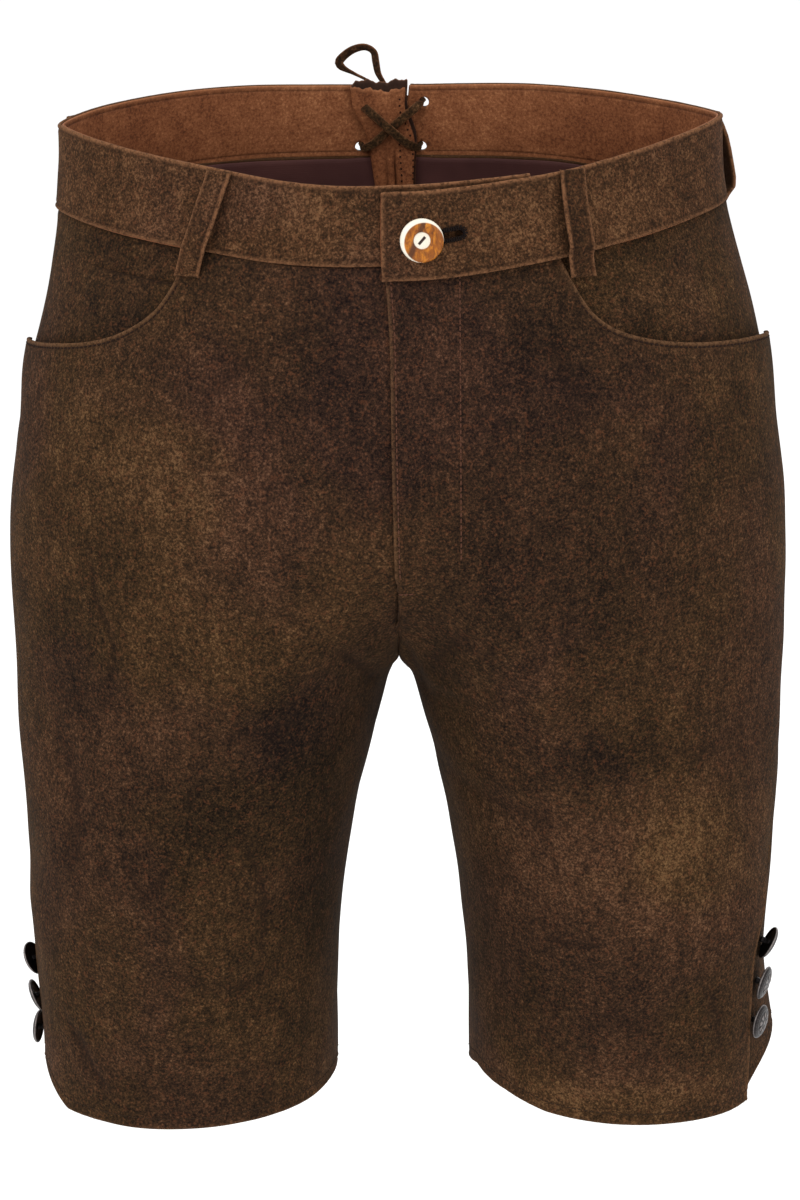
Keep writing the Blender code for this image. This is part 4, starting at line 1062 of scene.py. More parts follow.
def fly_facing():
    down = np.linspace(0.0, 1.0, ROWS["fly_facing"])
    z_line = np.linspace(BAND_BOTTOM[0], FLY_END_Z + 4 * MM, ROWS["fly_facing"])
    narrow = 1 - 0.75 * ease((down - 0.8) / 0.2)
    low, high = girth_at(-8.6 * MM, z_line), girth_at(33 * MM * narrow, z_line)
    share = np.linspace(0.0, 1.0, COLUMNS["fly_facing"])
    u = mix(low[:, None], high[:, None], share[None])
    z = np.broadcast_to(z_line[:, None], u.shape)
    sheet = Sheet("fly_facing", place(LEFT, u, z, -(LEATHER + 2.3 * MM)), outward(LEFT, u, z))
    return sheet


def lining(side):
    share = np.linspace(0.0, 1.0, COLUMNS["lining"])
    top = round_the_waist(side, BAND_BOTTOM, 2 - share) - 1.0 * MM
    down = np.linspace(0.0, 1.0, ROWS["lining"])[:, None]
    z = mix(top[None], LINING_BOTTOM_Z, down)
    u = mix(back_girth_at(2.5 * MM, z), 1.004, share[None])
    beside_gusset = 1 - ease((surface(LEFT, u, z)[..., 0] - 15 * MM) / (12 * MM))
    inside = LEATHER + mix(1.2 * MM, 0.15 * MM, beside_gusset)
    sheet = Sheet(f"lining_{SIDE_NAME[side]}", place(side, u, z, -inside), outward(side, u, z))
    hang = waves(sheet.grid * np.array([1.0, 1.0, 0.35]), 0.040, 0.8 * MM, 41 + side)
    sheet.push(hang * (1 - beside_gusset))
    return sheet


# ---------------------------------------------------------------- pieces: gusset
GUSSET_LEATHER = 1.2 * MM
GUSSET_SECTION = (
    # along the waist, how far inside the garment surface: out along one leg, round a fold and back
    (12.5, 3.4), (5.0, 3.4), (-3.0, 3.4), (-11.0, 3.4), (-14.4, 3.8), (-15.3, 4.9),
    (-14.2, 6.0), (-8.0, 6.6), (-2.0, 6.8), (5.0, 6.6), (11.5, 6.0),
)  # fmt: skip
GUSSET_OUTER = 3.4  # how far inside the garment surface its outer leg lies
GUSSET_BOTTOM_Z = -0.104
GUSSET_TOP_Z = (0.0025, -0.0015)  # of the fold's outer and inner sides
GUSSET_ROWS = ((9.6, -0.004), (2.8, -0.026))  # of stitches: where across the top, top z
GUSSET_ROWS_END_Z = -0.085


def back_at(x, z, proud):
    """Points beside the centre back, x from the middle."""
    x, z, proud = arrays(x, z, proud)
    u = back_girth_at(np.abs(x), z)
    left, right = place(LEFT, u, z, proud), place(RIGHT, u, z, proud)
    return np.where((x >= 0)[..., None], left, right)


def gusset():
    section = smooth_route([np.array(row) for row in GUSSET_SECTION], 0.7)
    share = np.linspace(0.0, 1.0, len(section))
    inner_leg = ease((share * 10 - 4) / 3)
    ragged = 0.8 * np.sin(21 * share) + 0.5 * np.sin(57 * share + 1) + 0.25 * np.sin(131 * share)
    top = mix(GUSSET_TOP_Z[0], GUSSET_TOP_Z[1], inner_leg) + ragged * MM
    down = np.linspace(0.0, 1.0, ROWS["gusset"])[:, None]
    z = mix(top[None], GUSSET_BOTTOM_Z, down)
    narrow = mix(1.10, 0.40, down**1.05)
    depth = GUSSET_OUTER + (section[:, 1] - GUSSET_OUTER)[None] * mix(1.0, 0.70, down)
    across = section[:, 0][None] * narrow
    # Below the lacing the leg that shows is pleated, and its stitched edge laps over the rest.
    pleats = 1.3 * bump_at((across + 9.0) / 2.2) - 1.1 * bump_at((across + 5.0) / 1.6)
    pleats += 1.6 * ease((across - 0.2) / 0.9) - 1.0 * bump_at((across + 0.6) / 0.8)
    depth = depth + inner_leg * pleats * ease((down - 0.22) / 0.22)
    depth = depth + 0.25 * inner_leg * np.sin(9 * down + across * 0.4)
    aside = mix(-4.4, 2.6, ease((down - 0.07) / 0.22))
    grid = back_at((across + aside) * MM, z, -depth * MM)
    hint = np.zeros(grid.shape) + np.array([0.0, 1.0, 0.0])
    sheet = Sheet("gusset", grid, hint * (0.5 - inner_leg)[None, :, None])
    sheet.grid = sheet.grid + sheet.normals * GUSSET_LEATHER / 2
    wear = bump_at(down / 0.012) * np.ones(z.shape)
    low = ease((down - 0.25) / 0.15)
    # Painted shade in the pleats of the leg that shows, below the lacing.
    dark = inner_leg * low * (bump_at((across + 0.4) / 0.7) + 0.6 * bump_at((across + 5.2) / 1.0))
    sheet.fields = {"wear": wear, "groove_shade": clamp01(dark)}
    rows, sheet.stitches["plain"] = np.arange(len(z)), []
    for at, top_z in GUSSET_ROWS:
        columns = np.where(inner_leg > 0.5, np.abs(across - at), np.inf).argmin(axis=1)
        line = np.concatenate([sheet.grid[rows, columns], sheet.normals[rows, columns]], -1)
        sheet.stitches["plain"].append(line[(line[:, 2] < top_z) & (line[:, 2] > GUSSET_ROWS_END_Z)])
    return sheet


# ---------------------------------------------------------------- pieces: belt loops
LOOP_WIDTH = 13.0 * MM
LOOP_LEATHER = 1.8 * MM
LOOP_INSET = 2.3 * MM  # of the groove along each side
LOOPS = {
    # side, girth at its top, girth at its foot, how far it stands off, how far below the waist seam
    "front_left": (LEFT, 0.386, 0.366, 5.6 * MM, 12.0 * MM),
    "front_right": (RIGHT, 0.370, 0.410, 5.6 * MM, 13.0 * MM),
    "side_left": (LEFT, 1.13, 1.13, 6.8 * MM, 9.0 * MM),
    "side_right": (RIGHT, 1.17, 1.17, 4.0 * MM, 9.0 * MM),
    "back_left": (LEFT, 1.66, 1.66, 5.6 * MM, 9.0 * MM),
    "back_right": (RIGHT, 1.66, 1.66, 5.6 * MM, 9.0 * MM),
}
LOOP_PROFILE = (
    # share of the way down, share of the full stand-off
    (0.00, 0.00), (0.06, 0.04), (0.14, 0.30), (0.26, 0.60), (0.42, 0.84), (0.58, 0.98),
    (0.71, 1.02), (0.81, 0.88), (0.88, 0.44), (0.94, 0.04), (1.00, 0.00),
)  # fmt: skip
LOOP_TONE = {"front_left": -0.55, "side_left": -0.3}


def seat_under_loop(side, u, z):
    below = z < band_edges(side, u)[1] - 1.5 * MM
    panel = np.where(u < 1, front_proud(side, np.minimum(u, 1.0), z), 0.0)
    lap = lap_share(surface(LEFT, u, z)[..., 0]) * (u < 1) * (side == LEFT)
    return np.where(below, panel, mix(BAND_PROUD, LAPPED_BAND, lap))


def belt_loop(name):
    side, top_girth, foot_girth, stands_off, foot_drop = LOOPS[name]
    top = float(band_edges(side, np.array(top_girth))[0]) - 0.8 * MM
    foot = float(round_the_waist(side, BAND_BOTTOM, foot_girth)) - foot_drop
    rows = []
    for share, off in LOOP_PROFILE:
        z, centre = mix(top, foot, share), mix(top_girth, foot_girth, share)
        seat = float(seat_under_loop(side, np.array(centre), np.array(z)))
        way = outward(side, centre, z)
        at = place(side, centre, z, seat + 0.5 * MM + LOOP_LEATHER)
        # The front ones bow straight forwards.
        bow = unit(mix(way, np.array([0.0, -1.0, 0.0]), 0.75)) if "front" in name else way
        rows.append(np.concatenate([at + bow * off * stands_off, way]))
    route = resample(smooth_route(rows, 1.0), 0.9 * MM)
    normal = unit(route[:, 3:])
    tangent = unit(np.cross(normal, np.array([0.0, 0.0, 1.0])))
    half = EDGE_STEPS[EDGE_STEPS < LOOP_WIDTH / 2 - 0.6 * MM]
    across = np.concatenate([half, [LOOP_WIDTH / 2], LOOP_WIDTH - half[::-1]]) - LOOP_WIDTH / 2
    grid = route[:, None, :3] + tangent[:, None] * across[None, :, None]
    sheet = Sheet(f"belt_loop_{name}", grid, np.broadcast_to(normal[:, None], grid.shape))
    from_side = LOOP_WIDTH / 2 - np.abs(across)[None] * np.ones(grid.shape[:2])
    from_edge = np.minimum.reduce([from_side, *sheet.from_edges()[:2]])
    sheet.push(turned_edge(from_edge, 0.4 * MM, LOOP_INSET) + waves(grid, 0.018, 0.5 * MM, 164 - side))
    tone = LOOP_TONE.get(name, 0.1) + 0.15 * np.sin(grid[..., 2] / (6 * MM))
    # Painted shade in the stitch grooves along both sides.
    dark = 0.6 * bump_at((from_side - LOOP_INSET) / (0.6 * MM))
    sheet.fields = {"tone": tone, "wear": 0.9 * bump_at(from_side / (1.2 * MM)), "groove_shade": dark}
    return sheet


# ---------------------------------------------------------------- pieces: buttons
WAIST_BUTTON = (
    # radius, height above the button's back, in mm
    (0.0, 2.6), (3.4, 2.6), (4.1, 3.1), (4.6, 3.7), (7.6, 4.0), (9.4, 3.5), (10.2, 2.4),
    (9.9, 1.0), (8.8, 0.3), (2.2, 0.0), (2.0, -2.2), (0.0, -2.2),
)  # fmt: skip
LEG_BUTTON = (
    # radius, height above the button's back, in mm
    (0.0, 2.9), (3.6, 2.75), (6.6, 2.2), (8.2, 1.5), (8.8, 0.8), (8.5, 0.1), (7.6, 0.2),
    (6.6, 0.7), (1.7, 1.0), (1.4, -1.2), (1.6, -3.6), (0.0, -3.6),
)  # fmt: skip
LEG_BUTTONS = {
    # side: (behind the side seam, height, lean of its top away from the leg, turn to the front)
    RIGHT: (
        (4.5 * MM, -0.4355, 24.0, -20.0),
        (5.2 * MM, -0.4562, 21.0, -4.0),
        (4.5 * MM, -0.4755, -5.0, -14.0),
    ),
    LEFT: (
        (11.0 * MM, -0.4187, 26.0, -18.0),
        (9.0 * MM, -0.4402, 9.0, 2.0),
        (6.5 * MM, -0.4612, 4.0, 5.0),
    ),
}
WAIST_BUTTON_AT = (13.0 * MM, -0.0470)
BUTTONHOLE_REACH = np.array([18.0, 2.6, 3.0]) * MM


def facing_frame(centre, normal, across):
    up, right = Vector(normal).normalized(), Vector(across)
    right = (right - up * right.dot(up)).normalized()
    turn = Matrix((right, up.cross(right), up)).transposed().to_4x4()
    return Matrix.Translation(Vector(centre)) @ turn


def turned_mesh(name, profile, segments, relief=None):
    """A turned shape about +Z from (radius, height) points, with relief(radius, angle) on its front."""
    dense = smooth_route([np.array(row, float) for row in profile], 0.35) * MM
    dense[:, 0] = np.maximum(dense[:, 0], 0.0)
    ring = dense[1:-1]
    angle = np.arange(segments) * 2 * math.pi / segments
    height = np.repeat(ring[:, 1:2], segments, axis=1)
    raised = np.zeros(height.shape)
    if relief:
        facing_up = np.arange(len(ring)) < np.argmax(ring[:, 0])
        raised = relief(ring[:, :1] / MM, angle[None]) * facing_up[:, None]
        height = height + raised * MM
    points = np.stack([ring[:, :1] * np.cos(angle), ring[:, :1] * np.sin(angle), height], -1)
    points = np.concatenate([points.reshape(-1, 3), [(0, 0, dense[0, 1]), (0, 0, dense[-1, 1])]])
    faces = grid_faces(len(ring), segments, 0, ring=True).tolist()
    top, bottom, start = len(points) - 2, len(points) - 1, (len(ring) - 1) * segments
    for i in range(segments):
        j = (i + 1) % segments
        faces += [[top, i, j], [bottom, start + j, start + i]]
    # Raised relief is paler, as worn pewter is; the outer rim is paled too, as a painted highlight.
    relief_and_rim_highlight = np.maximum(raised, 0.32 * (ring[:, :1] > 0.975 * ring[:, 0].max()))
    return mesh_of(name, points, faces, {"raised": np.append(relief_and_rim_highlight.ravel(), (raised[0, 0], 0.0))})


def medallion(radius, angle):
    """A cast rosette: a beaded rim, a ring and eight leaves round a boss."""
    rim = 0.22 * bump_at((radius - 7.7) / 0.45) * (0.65 + 0.35 * np.cos(36 * angle))
    ring = 0.20 * bump_at((radius - 6.5) / 0.30)
    leaves = 0.42 * np.abs(np.cos(4 * angle)) * bump_at((radius - 4.0) / 1.5)
    veins = -0.22 * bump_at(np.sin(8 * angle) / 0.35) * bump_at((radius - 4.4) / 1.2)
    boss = 0.35 * bump_at(radius / 1.3)
    return rim + ring + leaves + veins + boss


def waist_button(finish):
    x, z = WAIST_BUTTON_AT
    u = float(girth_at(x, z))
    centre, normal = place(LEFT, u, z, LAPPED_BAND + 0.5 * MM), outward(LEFT, u, z)
    piece = add_object("horn_button", turned_mesh("horn_button", WAIST_BUTTON, 72), finish)
    piece.matrix_world = facing_frame(centre, normal, (1, 0, 0))
    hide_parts("waist_button")


def leg_button(side, index, finish):
    behind, z, lean, turn = LEG_BUTTONS[side][index]
    name = f"leg_button_{SIDE_NAME[side]}_{index + 1}"
    u = float(along_girth(side, outseam(side, z), z, behind))
    proud = float(flare(side, u, z)) + 1.1 * MM
    frame_at = facing_frame(place(side, u, z, proud), outward(side, u, z), (0, 1, 0))
    tip = Matrix.Rotation(math.radians(lean * side), 4, "X")
    sideways = Matrix.Rotation(math.radians(-turn), 4, "Y")
    spin = Matrix.Rotation(0.4 + 1.3 * index, 4, "Z")
    piece = add_object(f"pewter_{name}", turned_mesh(name, LEG_BUTTON, 96, medallion), finish)
    piece.matrix_world = frame_at @ tip @ sideways @ Matrix.Translation((0, 0, 3.6 * MM)) @ spin
    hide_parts(name)


# ---------------------------------------------------------------- pieces: lace
LACE_WIDTH = 4.6 * MM
LACE_THICKNESS = 1.3 * MM
LACE_INSET = 1.3 * MM  # the lace pulls to the inner side of each eyelet
LACE_STEP = 1.2 * MM
STRIP_SIDES = 16


def lace_point(x, z, out_mm):
    return back_at(x, z, out_mm * MM)


def lace_routes():
    """The routes of the model's cords."""
    (ux, uz), (lx, lz) = EYELETS["upper"], EYELETS["lower"]
    ux, lx = ux - LACE_INSET, lx - LACE_INSET
    knot = lace_point(0.0, uz - 0.5 * MM, 4.6)

    def crossing(from_x, from_z, to_x, to_z, over):
        middle = 12.4 if over else 9.2
        beside = 10.4 if over else 9.0
        points = []
        for share, depth in ((0.08, 7.6), (0.2, beside), (0.5, middle), (0.8, beside), (0.92, 7.6)):
            points.append(lace_point(mix(from_x, to_x, share), mix(from_z, to_z, share), -depth))
        return points

    def through(x, z, inwards):
        points = [lace_point(x, z, depth) for depth in (2.6, -0.6, -3.6)]
        return points if inwards else points[::-1]

    lacing = (
        [lace_point(-5.2 * MM, uz - 0.5 * MM, 4.3), lace_point(-0.011, uz, 3.6)]
        + through(-ux, uz, True)
        + crossing(-ux, uz, lx, lz, True)
        + through(lx, lz, False)
        + [lace_point(0.011, lz - 0.5 * MM, 3.4), lace_point(0.0, lz - 0.8 * MM, 3.0)]
        + [lace_point(-0.011, lz - 0.5 * MM, 3.4)]
        + through(-lx, lz, True)
        + crossing(-lx, lz, ux, uz, False)
        + through(ux, uz, False)
        + [lace_point(0.011, uz, 3.6), lace_point(5.2 * MM, uz - 0.5 * MM, 4.3)]
    )
    loop = [
        knot + np.array(step) * MM
        for step in (
            (-1.8, 0.4, 3.2), (-3.0, 0.2, 8.0), (-6.2, -0.6, 14.0), (-7.4, -0.8, 20.0),
            (-8.6, -0.6, 25.4), (-13.5, 0.2, 27.8), (-20.5, 1.0, 25.8), (-26.4, 1.4, 20.6),
            (-25.2, 1.6, 17.2), (-18.6, 2.2, 13.6), (-11.0, 2.6, 9.6), (-6.2, 2.4, 5.4),
            (-4.6, 1.6, 2.2),
        )
    ]  # fmt: skip
    tails = {}
    for side in (LEFT, RIGHT):
        tails[side] = [
            knot + np.array([side * 2.2, 0.6, -4.1]) * MM,
            lace_point(side * 4.5 * MM, -0.017, 6.6),
            lace_point(side * 6.5 * MM, -0.028, 7.0),
            lace_point(side * (8.0 + 1.5 * side) * MM, -0.042, 4.4),
            lace_point(side * (9.0 + 2.0 * side) * MM, -0.056, 3.0),
            lace_point(side * (9.5 + 2.5 * side) * MM, -0.070, 2.8),
            lace_point(side * (10.5 + 2.5 * side) * MM, -0.078 - 0.003 * side, 2.8),
        ]
    return knot, lacing, loop, tails


def strip(name, route, flat_side, finish, node, width=LACE_WIDTH):
    """A flat strip along a route, narrow where it goes through an eyelet. Its flat side faces
    flat_side, given for each point."""
    line = smooth_route(route, LACE_STEP)
    narrow = np.zeros(len(line))
    for from_middle, z in EYELETS.values():
        for way in (1, -1):
            hole = lace_point(way * (from_middle - LACE_INSET), z, -0.5)
            narrow = np.maximum(narrow, bump_at(np.linalg.norm(line - hole, axis=1) / (3.6 * MM)))
    spread = (1 - 0.42 * narrow)[:, None, None]
    ahead = unit(np.gradient(line, axis=0))
    normal = flat_side(line)
    normal = unit(normal - ahead * (normal * ahead).sum(-1, keepdims=True))
    for _ in range(6):
        normal[1:-1] = unit(normal[:-2] + 2 * normal[1:-1] + normal[2:])
        normal = unit(normal - ahead * (normal * ahead).sum(-1, keepdims=True))
    across = np.cross(ahead, normal)
    turn = np.arange(STRIP_SIDES) * 2 * math.pi / STRIP_SIDES
    wide = np.sign(np.cos(turn)) * np.abs(np.cos(turn)) ** 0.7 * width / 2
    thick = np.sign(np.sin(turn)) * np.abs(np.sin(turn)) ** 0.7 * LACE_THICKNESS / 2
    grid = line[:, None] + across[:, None] * wide[None, :, None] * spread
    grid = grid + normal[:, None] * thick[None, :, None]
    faces = grid_faces(len(line), STRIP_SIDES, 0, ring=True).tolist()
    last = (len(line) - 1) * STRIP_SIDES
    faces += [list(range(STRIP_SIDES))[::-1], list(range(last, last + STRIP_SIDES))]
    wear = np.tile(0.9 * np.abs(np.cos(turn)) ** 6, len(line))
    mesh = mesh_of(name, grid.reshape(-1, 3), faces, {"wear": wear})
    piece = add_object(name, mesh, finish, node)
    run = float(np.linalg.norm(np.diff(line, axis=0), axis=1).sum())
    return piece, line, run


# ---------------------------------------------------------------- materials
class Paint:
    """A small helper that builds one material's nodes."""

    def __init__(self, name):
        self.material = bpy.data.materials.new(name)
        self.material.use_nodes = True
        self.tree = self.material.node_tree
        self.shader = self.tree.nodes["Principled BSDF"]
        self.place = self.new("ShaderNodeTexCoord").outputs["Object"]

    def new(self, kind, **settings):
        node = self.tree.nodes.new(kind)
        for key, value in settings.items():
            setattr(node, key, value)
        return node

    def feed(self, socket, value):
        if isinstance(value, bpy.types.NodeSocket):
            self.tree.links.new(value, socket)
        elif value is not None:
            socket.default_value = value

    def field(self, name):
        return self.new("ShaderNodeAttribute", attribute_name=name).outputs["Fac"]

    def scaled(self, factors):
        node = self.new("ShaderNodeVectorMath", operation="MULTIPLY")
        self.feed(node.inputs[0], self.place)
        node.inputs[1].default_value = factors
        return node.outputs["Vector"]

    def noise(self, size, detail=3.0, roughness=0.55, distortion=0.0, at=None):
        """Noise whose features are about this many metres wide, 0 to 1."""
        node = self.new("ShaderNodeTexNoise")
        self.feed(node.inputs["Vector"], at or self.place)
        node.inputs["Scale"].default_value = 1.0 / size
        node.inputs["Detail"].default_value = detail
        node.inputs["Roughness"].default_value = roughness
        node.inputs["Distortion"].default_value = distortion
        return node.outputs["Fac"]

    def math(self, operation, a, b=None, c=None, clamp=False):
        node = self.new("ShaderNodeMath", operation=operation, use_clamp=clamp)
        for socket, value in zip(node.inputs, (a, b, c), strict=False):
            self.feed(socket, value)
        return node.outputs[0]

    def times(self, a, b):
        return self.math("MULTIPLY", a, b)

    def plus(self, a, b):
        return self.math("ADD", a, b)

    def sum(self, *terms):
        """The sum of (value, factor, value at which it adds nothing)."""
        total = 0.0
        for value, factor, rest in terms:
            total = self.math("MULTIPLY_ADD", value, factor, self.plus(total, -factor * rest))
        return total

    def ramp(self, value, stops, smooth=True):
        node = self.new("ShaderNodeValToRGB")
        self.feed(node.inputs["Fac"], value)
        elements = node.color_ramp.elements
        for i, (position, colour) in enumerate(stops):
            element = elements[i] if i < 2 else elements.new(position)
            element.position, element.color = position, (*colour, 1.0)
        node.color_ramp.interpolation = "EASE" if smooth else "LINEAR"
        return node.outputs["Color"]

    def range(self, value, low, high, to_low=0.0, to_high=1.0):
        node = self.new("ShaderNodeMapRange", interpolation_type="SMOOTHSTEP")
        for socket, number in zip(node.inputs, (value, low, high, to_low, to_high), strict=False):
            self.feed(socket, number)
        return node.outputs["Result"]

    def mixed(self, share, a, b, blend="MIX"):
        node = self.new("ShaderNodeMix", data_type="RGBA", blend_type=blend)
        self.feed(node.inputs[0], share)
        for socket, colour in ((node.inputs[6], a), (node.inputs[7], b)):
            self.feed(socket, (*colour, 1.0) if isinstance(colour, tuple) else colour)
        return node.outputs[2]

    def stained(self, colour, where, amount, stain):
        """The colour with a stain over it, as strong as the field and the amount say."""
        return self.mixed(self.times(where, amount), colour, stain)

    def bump(self, height, distance, strength=1.0):
        node = self.new("ShaderNodeBump")
        node.inputs["Strength"].default_value = strength
        node.inputs["Distance"].default_value = distance
        self.feed(node.inputs["Height"], height)
        before = self.shader.inputs["Normal"].links
        if before:
            self.tree.links.new(before[0].from_socket, node.inputs["Normal"])
        self.feed(self.shader.inputs["Normal"], node.outputs["Normal"])

    def finish(self, colour, roughness, **sockets):
        if isinstance(colour, tuple):
            colour = (*colour, 1.0)
        self.feed(self.shader.inputs["Base Color"], colour)
        self.feed(self.shader.inputs["Roughness"], roughness)
        for name, value in sockets.items():
            self.shader.inputs[name.replace("_", " ")].default_value = value
        return self.material


def tint(red, green, blue):
    """A linear colour from display values of 0 to 255."""
    shares = (value / 255 for value in (red, green, blue))
    return tuple(((v + 0.055) / 1.055) ** 2.4 if v > 0.04 else v / 12.92 for v in shares)


SUEDE_STOPS = (
    (0.00, tint(18, 13, 11)),
    (0.28, tint(35, 25, 18)),
    (0.50, tint(50, 35, 23)),
    (0.72, tint(69, 47, 31)),
    (1.00, tint(104, 76, 52)),
)


def suede(name, lift=0.0, worn=(98, 70, 48), olive=(1.00, 1.02, 0.92)):
    """Brushed suede: cloudy, finely mottled, paler where it is handled."""
    paint = Paint(name)
    clouds = paint.noise(0.060, 3.0, 0.55, 0.8)
    blotches = paint.noise(0.017, 4.0, 0.62, 0.9)
    streaks = paint.noise(0.008, 3.0, 0.6, 0.3, paint.scaled((1.0, 1.0, 0.4)))
    nap = paint.noise(0.0031, 4.0, 0.75)
    grain = paint.noise(0.0012, 3.0, 0.75)
    tone = paint.sum(
        (paint.field("tone"), 0.25, 0.0), (clouds, 0.32, 0.5), (blotches, 0.40, 0.5),
        (streaks, 0.40, 0.5), (nap, 1.0, 0.5), (grain, 2.0, 0.5),
    )  # fmt: skip
    colour = paint.ramp(paint.plus(tone, 0.50 + lift), SUEDE_STOPS, False)
    # The dye leans to purple in some places and to olive in others, and is flecked with rust.
    cast = paint.range(paint.noise(0.09, 2.0, 0.5, 0.4), 0.40, 0.62, 0.0, 0.6)
    cast = paint.math("ADD", cast, paint.times(paint.field("cast"), 0.9), clamp=True)
    lean = paint.mixed(cast, olive, (1.02, 0.95, 1.16))
    colour = paint.mixed(1.0, colour, lean, "MULTIPLY")
    rust = paint.range(paint.noise(0.0024, 3.0, 0.7), 0.54, 0.66)
    colour = paint.stained(colour, rust, 0.40, tint(82, 48, 31))
    moss = paint.range(paint.noise(0.0021, 3.0, 0.7, 0.0, paint.scaled((1.0, 1.1, 0.9))), 0.56, 0.68)
    colour = paint.stained(colour, moss, 0.35, tint(36, 31, 20))
    fray = paint.range(paint.noise(0.0016, 3.0, 0.7), 0.36, 0.60, 0.15, 1.0)
    colour = paint.stained(colour, paint.field("wear"), fray, tint(*worn))
    # Painted shade in creases, seam hollows and stitch grooves.
    colour = paint.stained(colour, paint.field("groove_shade"), 0.62, tint(26, 18, 15))
    colour = paint.stained(colour, paint.field("flesh"), 0.55, tint(84, 58, 40))
    paint.bump(paint.noise(0.012, 4.0, 0.6, 1.2), 1.0 * MM, 0.30)
    paint.bump(paint.noise(0.0034, 3.0, 0.65, 0.8), 0.45 * MM, 0.55)
    paint.bump(paint.plus(nap, grain), 0.22 * MM, 0.8)
    return paint.finish(
        colour, 0.97, Sheen_Weight=0.02, Sheen_Roughness=0.5, Sheen_Tint=(0.80, 0.62, 0.45, 1.0),
        Specular_IOR_Level=0.03,
    )  # fmt: skip


def tan_leather():
    paint = Paint("tan_leather")
    hide = paint.noise(0.016, 4.0, 0.6, 0.5)
    grain = paint.noise(0.0014, 4.0, 0.75)
    streaks = paint.noise(0.0040, 3.0, 0.6, 0.4, paint.scaled((0.5, 0.5, 1.0)))
    value = paint.sum(
        (hide, 0.75, 0.5), (grain, 2.0, 0.5), (streaks, 0.45, 0.5), (paint.field("tone"), 0.38, 0.0)
    )  # fmt: skip
    stops = (
        (0.0, tint(76, 40, 23)), (0.42, tint(118, 69, 41)), (0.75, tint(144, 90, 57)),
        (1.0, tint(172, 116, 78)),
    )  # fmt: skip
    colour = paint.ramp(paint.plus(value, 0.45), stops, False)
    # Painted shade in stitch grooves and pleats.
    colour = paint.stained(colour, paint.field("groove_shade"), 0.55, tint(50, 26, 16))
    colour = paint.stained(colour, paint.field("wear"), 0.45, tint(150, 98, 64))
    # Painted shade: the gusset's faces inside its fold are darkened almost to black.
    colour = paint.stained(colour, paint.field("dark_flesh"), 0.9, tint(34, 25, 22))
    paint.bump(paint.times(paint.field("groove_shade"), -1.0), 0.5 * MM, 0.8)
    paint.bump(paint.noise(0.010, 3.0, 0.55, 0.8), 0.8 * MM, 0.3)
    paint.bump(grain, 0.15 * MM, 0.6)
    return paint.finish(colour, 0.80, Specular_IOR_Level=0.15)


def lining_cloth():
    paint = Paint("lining_cloth")
    weave = paint.new("ShaderNodeTexWave", wave_type="BANDS", bands_direction="Z")
    paint.feed(weave.inputs["Vector"], paint.place)
    weave.inputs["Scale"].default_value = 260.0
    # Lighter and darker by a noise as large as the folds: painted light and shade of folds.
    folds = paint.noise(0.026, 2.0, 0.5)
    colour = paint.mixed(folds, tint(52, 26, 25), tint(84, 50, 46))
    paint.bump(weave.outputs["Fac"], 0.06 * MM, 0.4)
    return paint.finish(colour, 0.7, Specular_IOR_Level=0.2)


def horn():
    """Cut horn: amber with dark streaks, a pale crescent of rim, a cream eye with a thread slot."""
    paint = Paint("horn")
    split = paint.new("ShaderNodeSeparateXYZ")
    paint.feed(split.inputs[0], paint.place)
    x, y = split.outputs["X"], split.outputs["Y"]

    def slanted(x_share, y_share):
        return paint.plus(paint.times(x, x_share), paint.times(y, y_share))

    def far(from_x, from_y):
        across, up = paint.plus(x, -from_x * MM), paint.plus(y, -from_y * MM)
        return paint.math("SQRT", paint.plus(paint.times(across, across), paint.times(up, up)))

    streak = paint.noise(0.0035, 3.0, 0.6, 1.4, paint.scaled((1.0, 0.35, 1.0)))
    amber = paint.ramp(streak, (
        (0.20, tint(74, 36, 8)), (0.42, tint(136, 74, 12)), (0.60, tint(178, 106, 20)),
        (0.82, tint(214, 154, 64)),
    ))  # fmt: skip
    bent = paint.plus(slanted(0.92, -0.40), paint.times(streak, 2.4 * MM))
    band = paint.range(paint.math("ABSOLUTE", paint.plus(bent, 1.3 * MM)), 2.0 * MM, 0.5 * MM)
    colour = paint.stained(amber, band, 0.85, tint(62, 30, 10))
    fine = paint.noise(0.0012, 4.0, 0.7, 1.0, paint.scaled((1.0, 0.4, 1.0)))
    colour = paint.mixed(paint.range(fine, 0.50, 0.36, 0.0, 0.6), colour, tint(96, 50, 12))
    rim = paint.range(far(0.9, -1.0), 9.0 * MM, 9.6 * MM)
    cream = paint.mixed(paint.noise(0.004, 2.0), tint(240, 234, 220), tint(222, 210, 188))
    colour = paint.mixed(rim, colour, cream)
    eye = paint.range(far(0.0, 0.0), 4.1 * MM, 3.6 * MM)
    colour = paint.mixed(eye, colour, cream)
    along_slot = paint.range(paint.math("ABSOLUTE", slanted(0.66, 0.75)), 2.5 * MM, 2.1 * MM)
    over_slot = paint.range(paint.math("ABSOLUTE", slanted(0.75, -0.66)), 0.85 * MM, 0.5 * MM)
    colour = paint.stained(colour, along_slot, over_slot, tint(44, 26, 20))
    paint.bump(streak, 0.2 * MM, 0.3)
    return paint.finish(colour, 0.40, Specular_IOR_Level=0.25, Coat_Weight=0.08, Coat_Roughness=0.2)


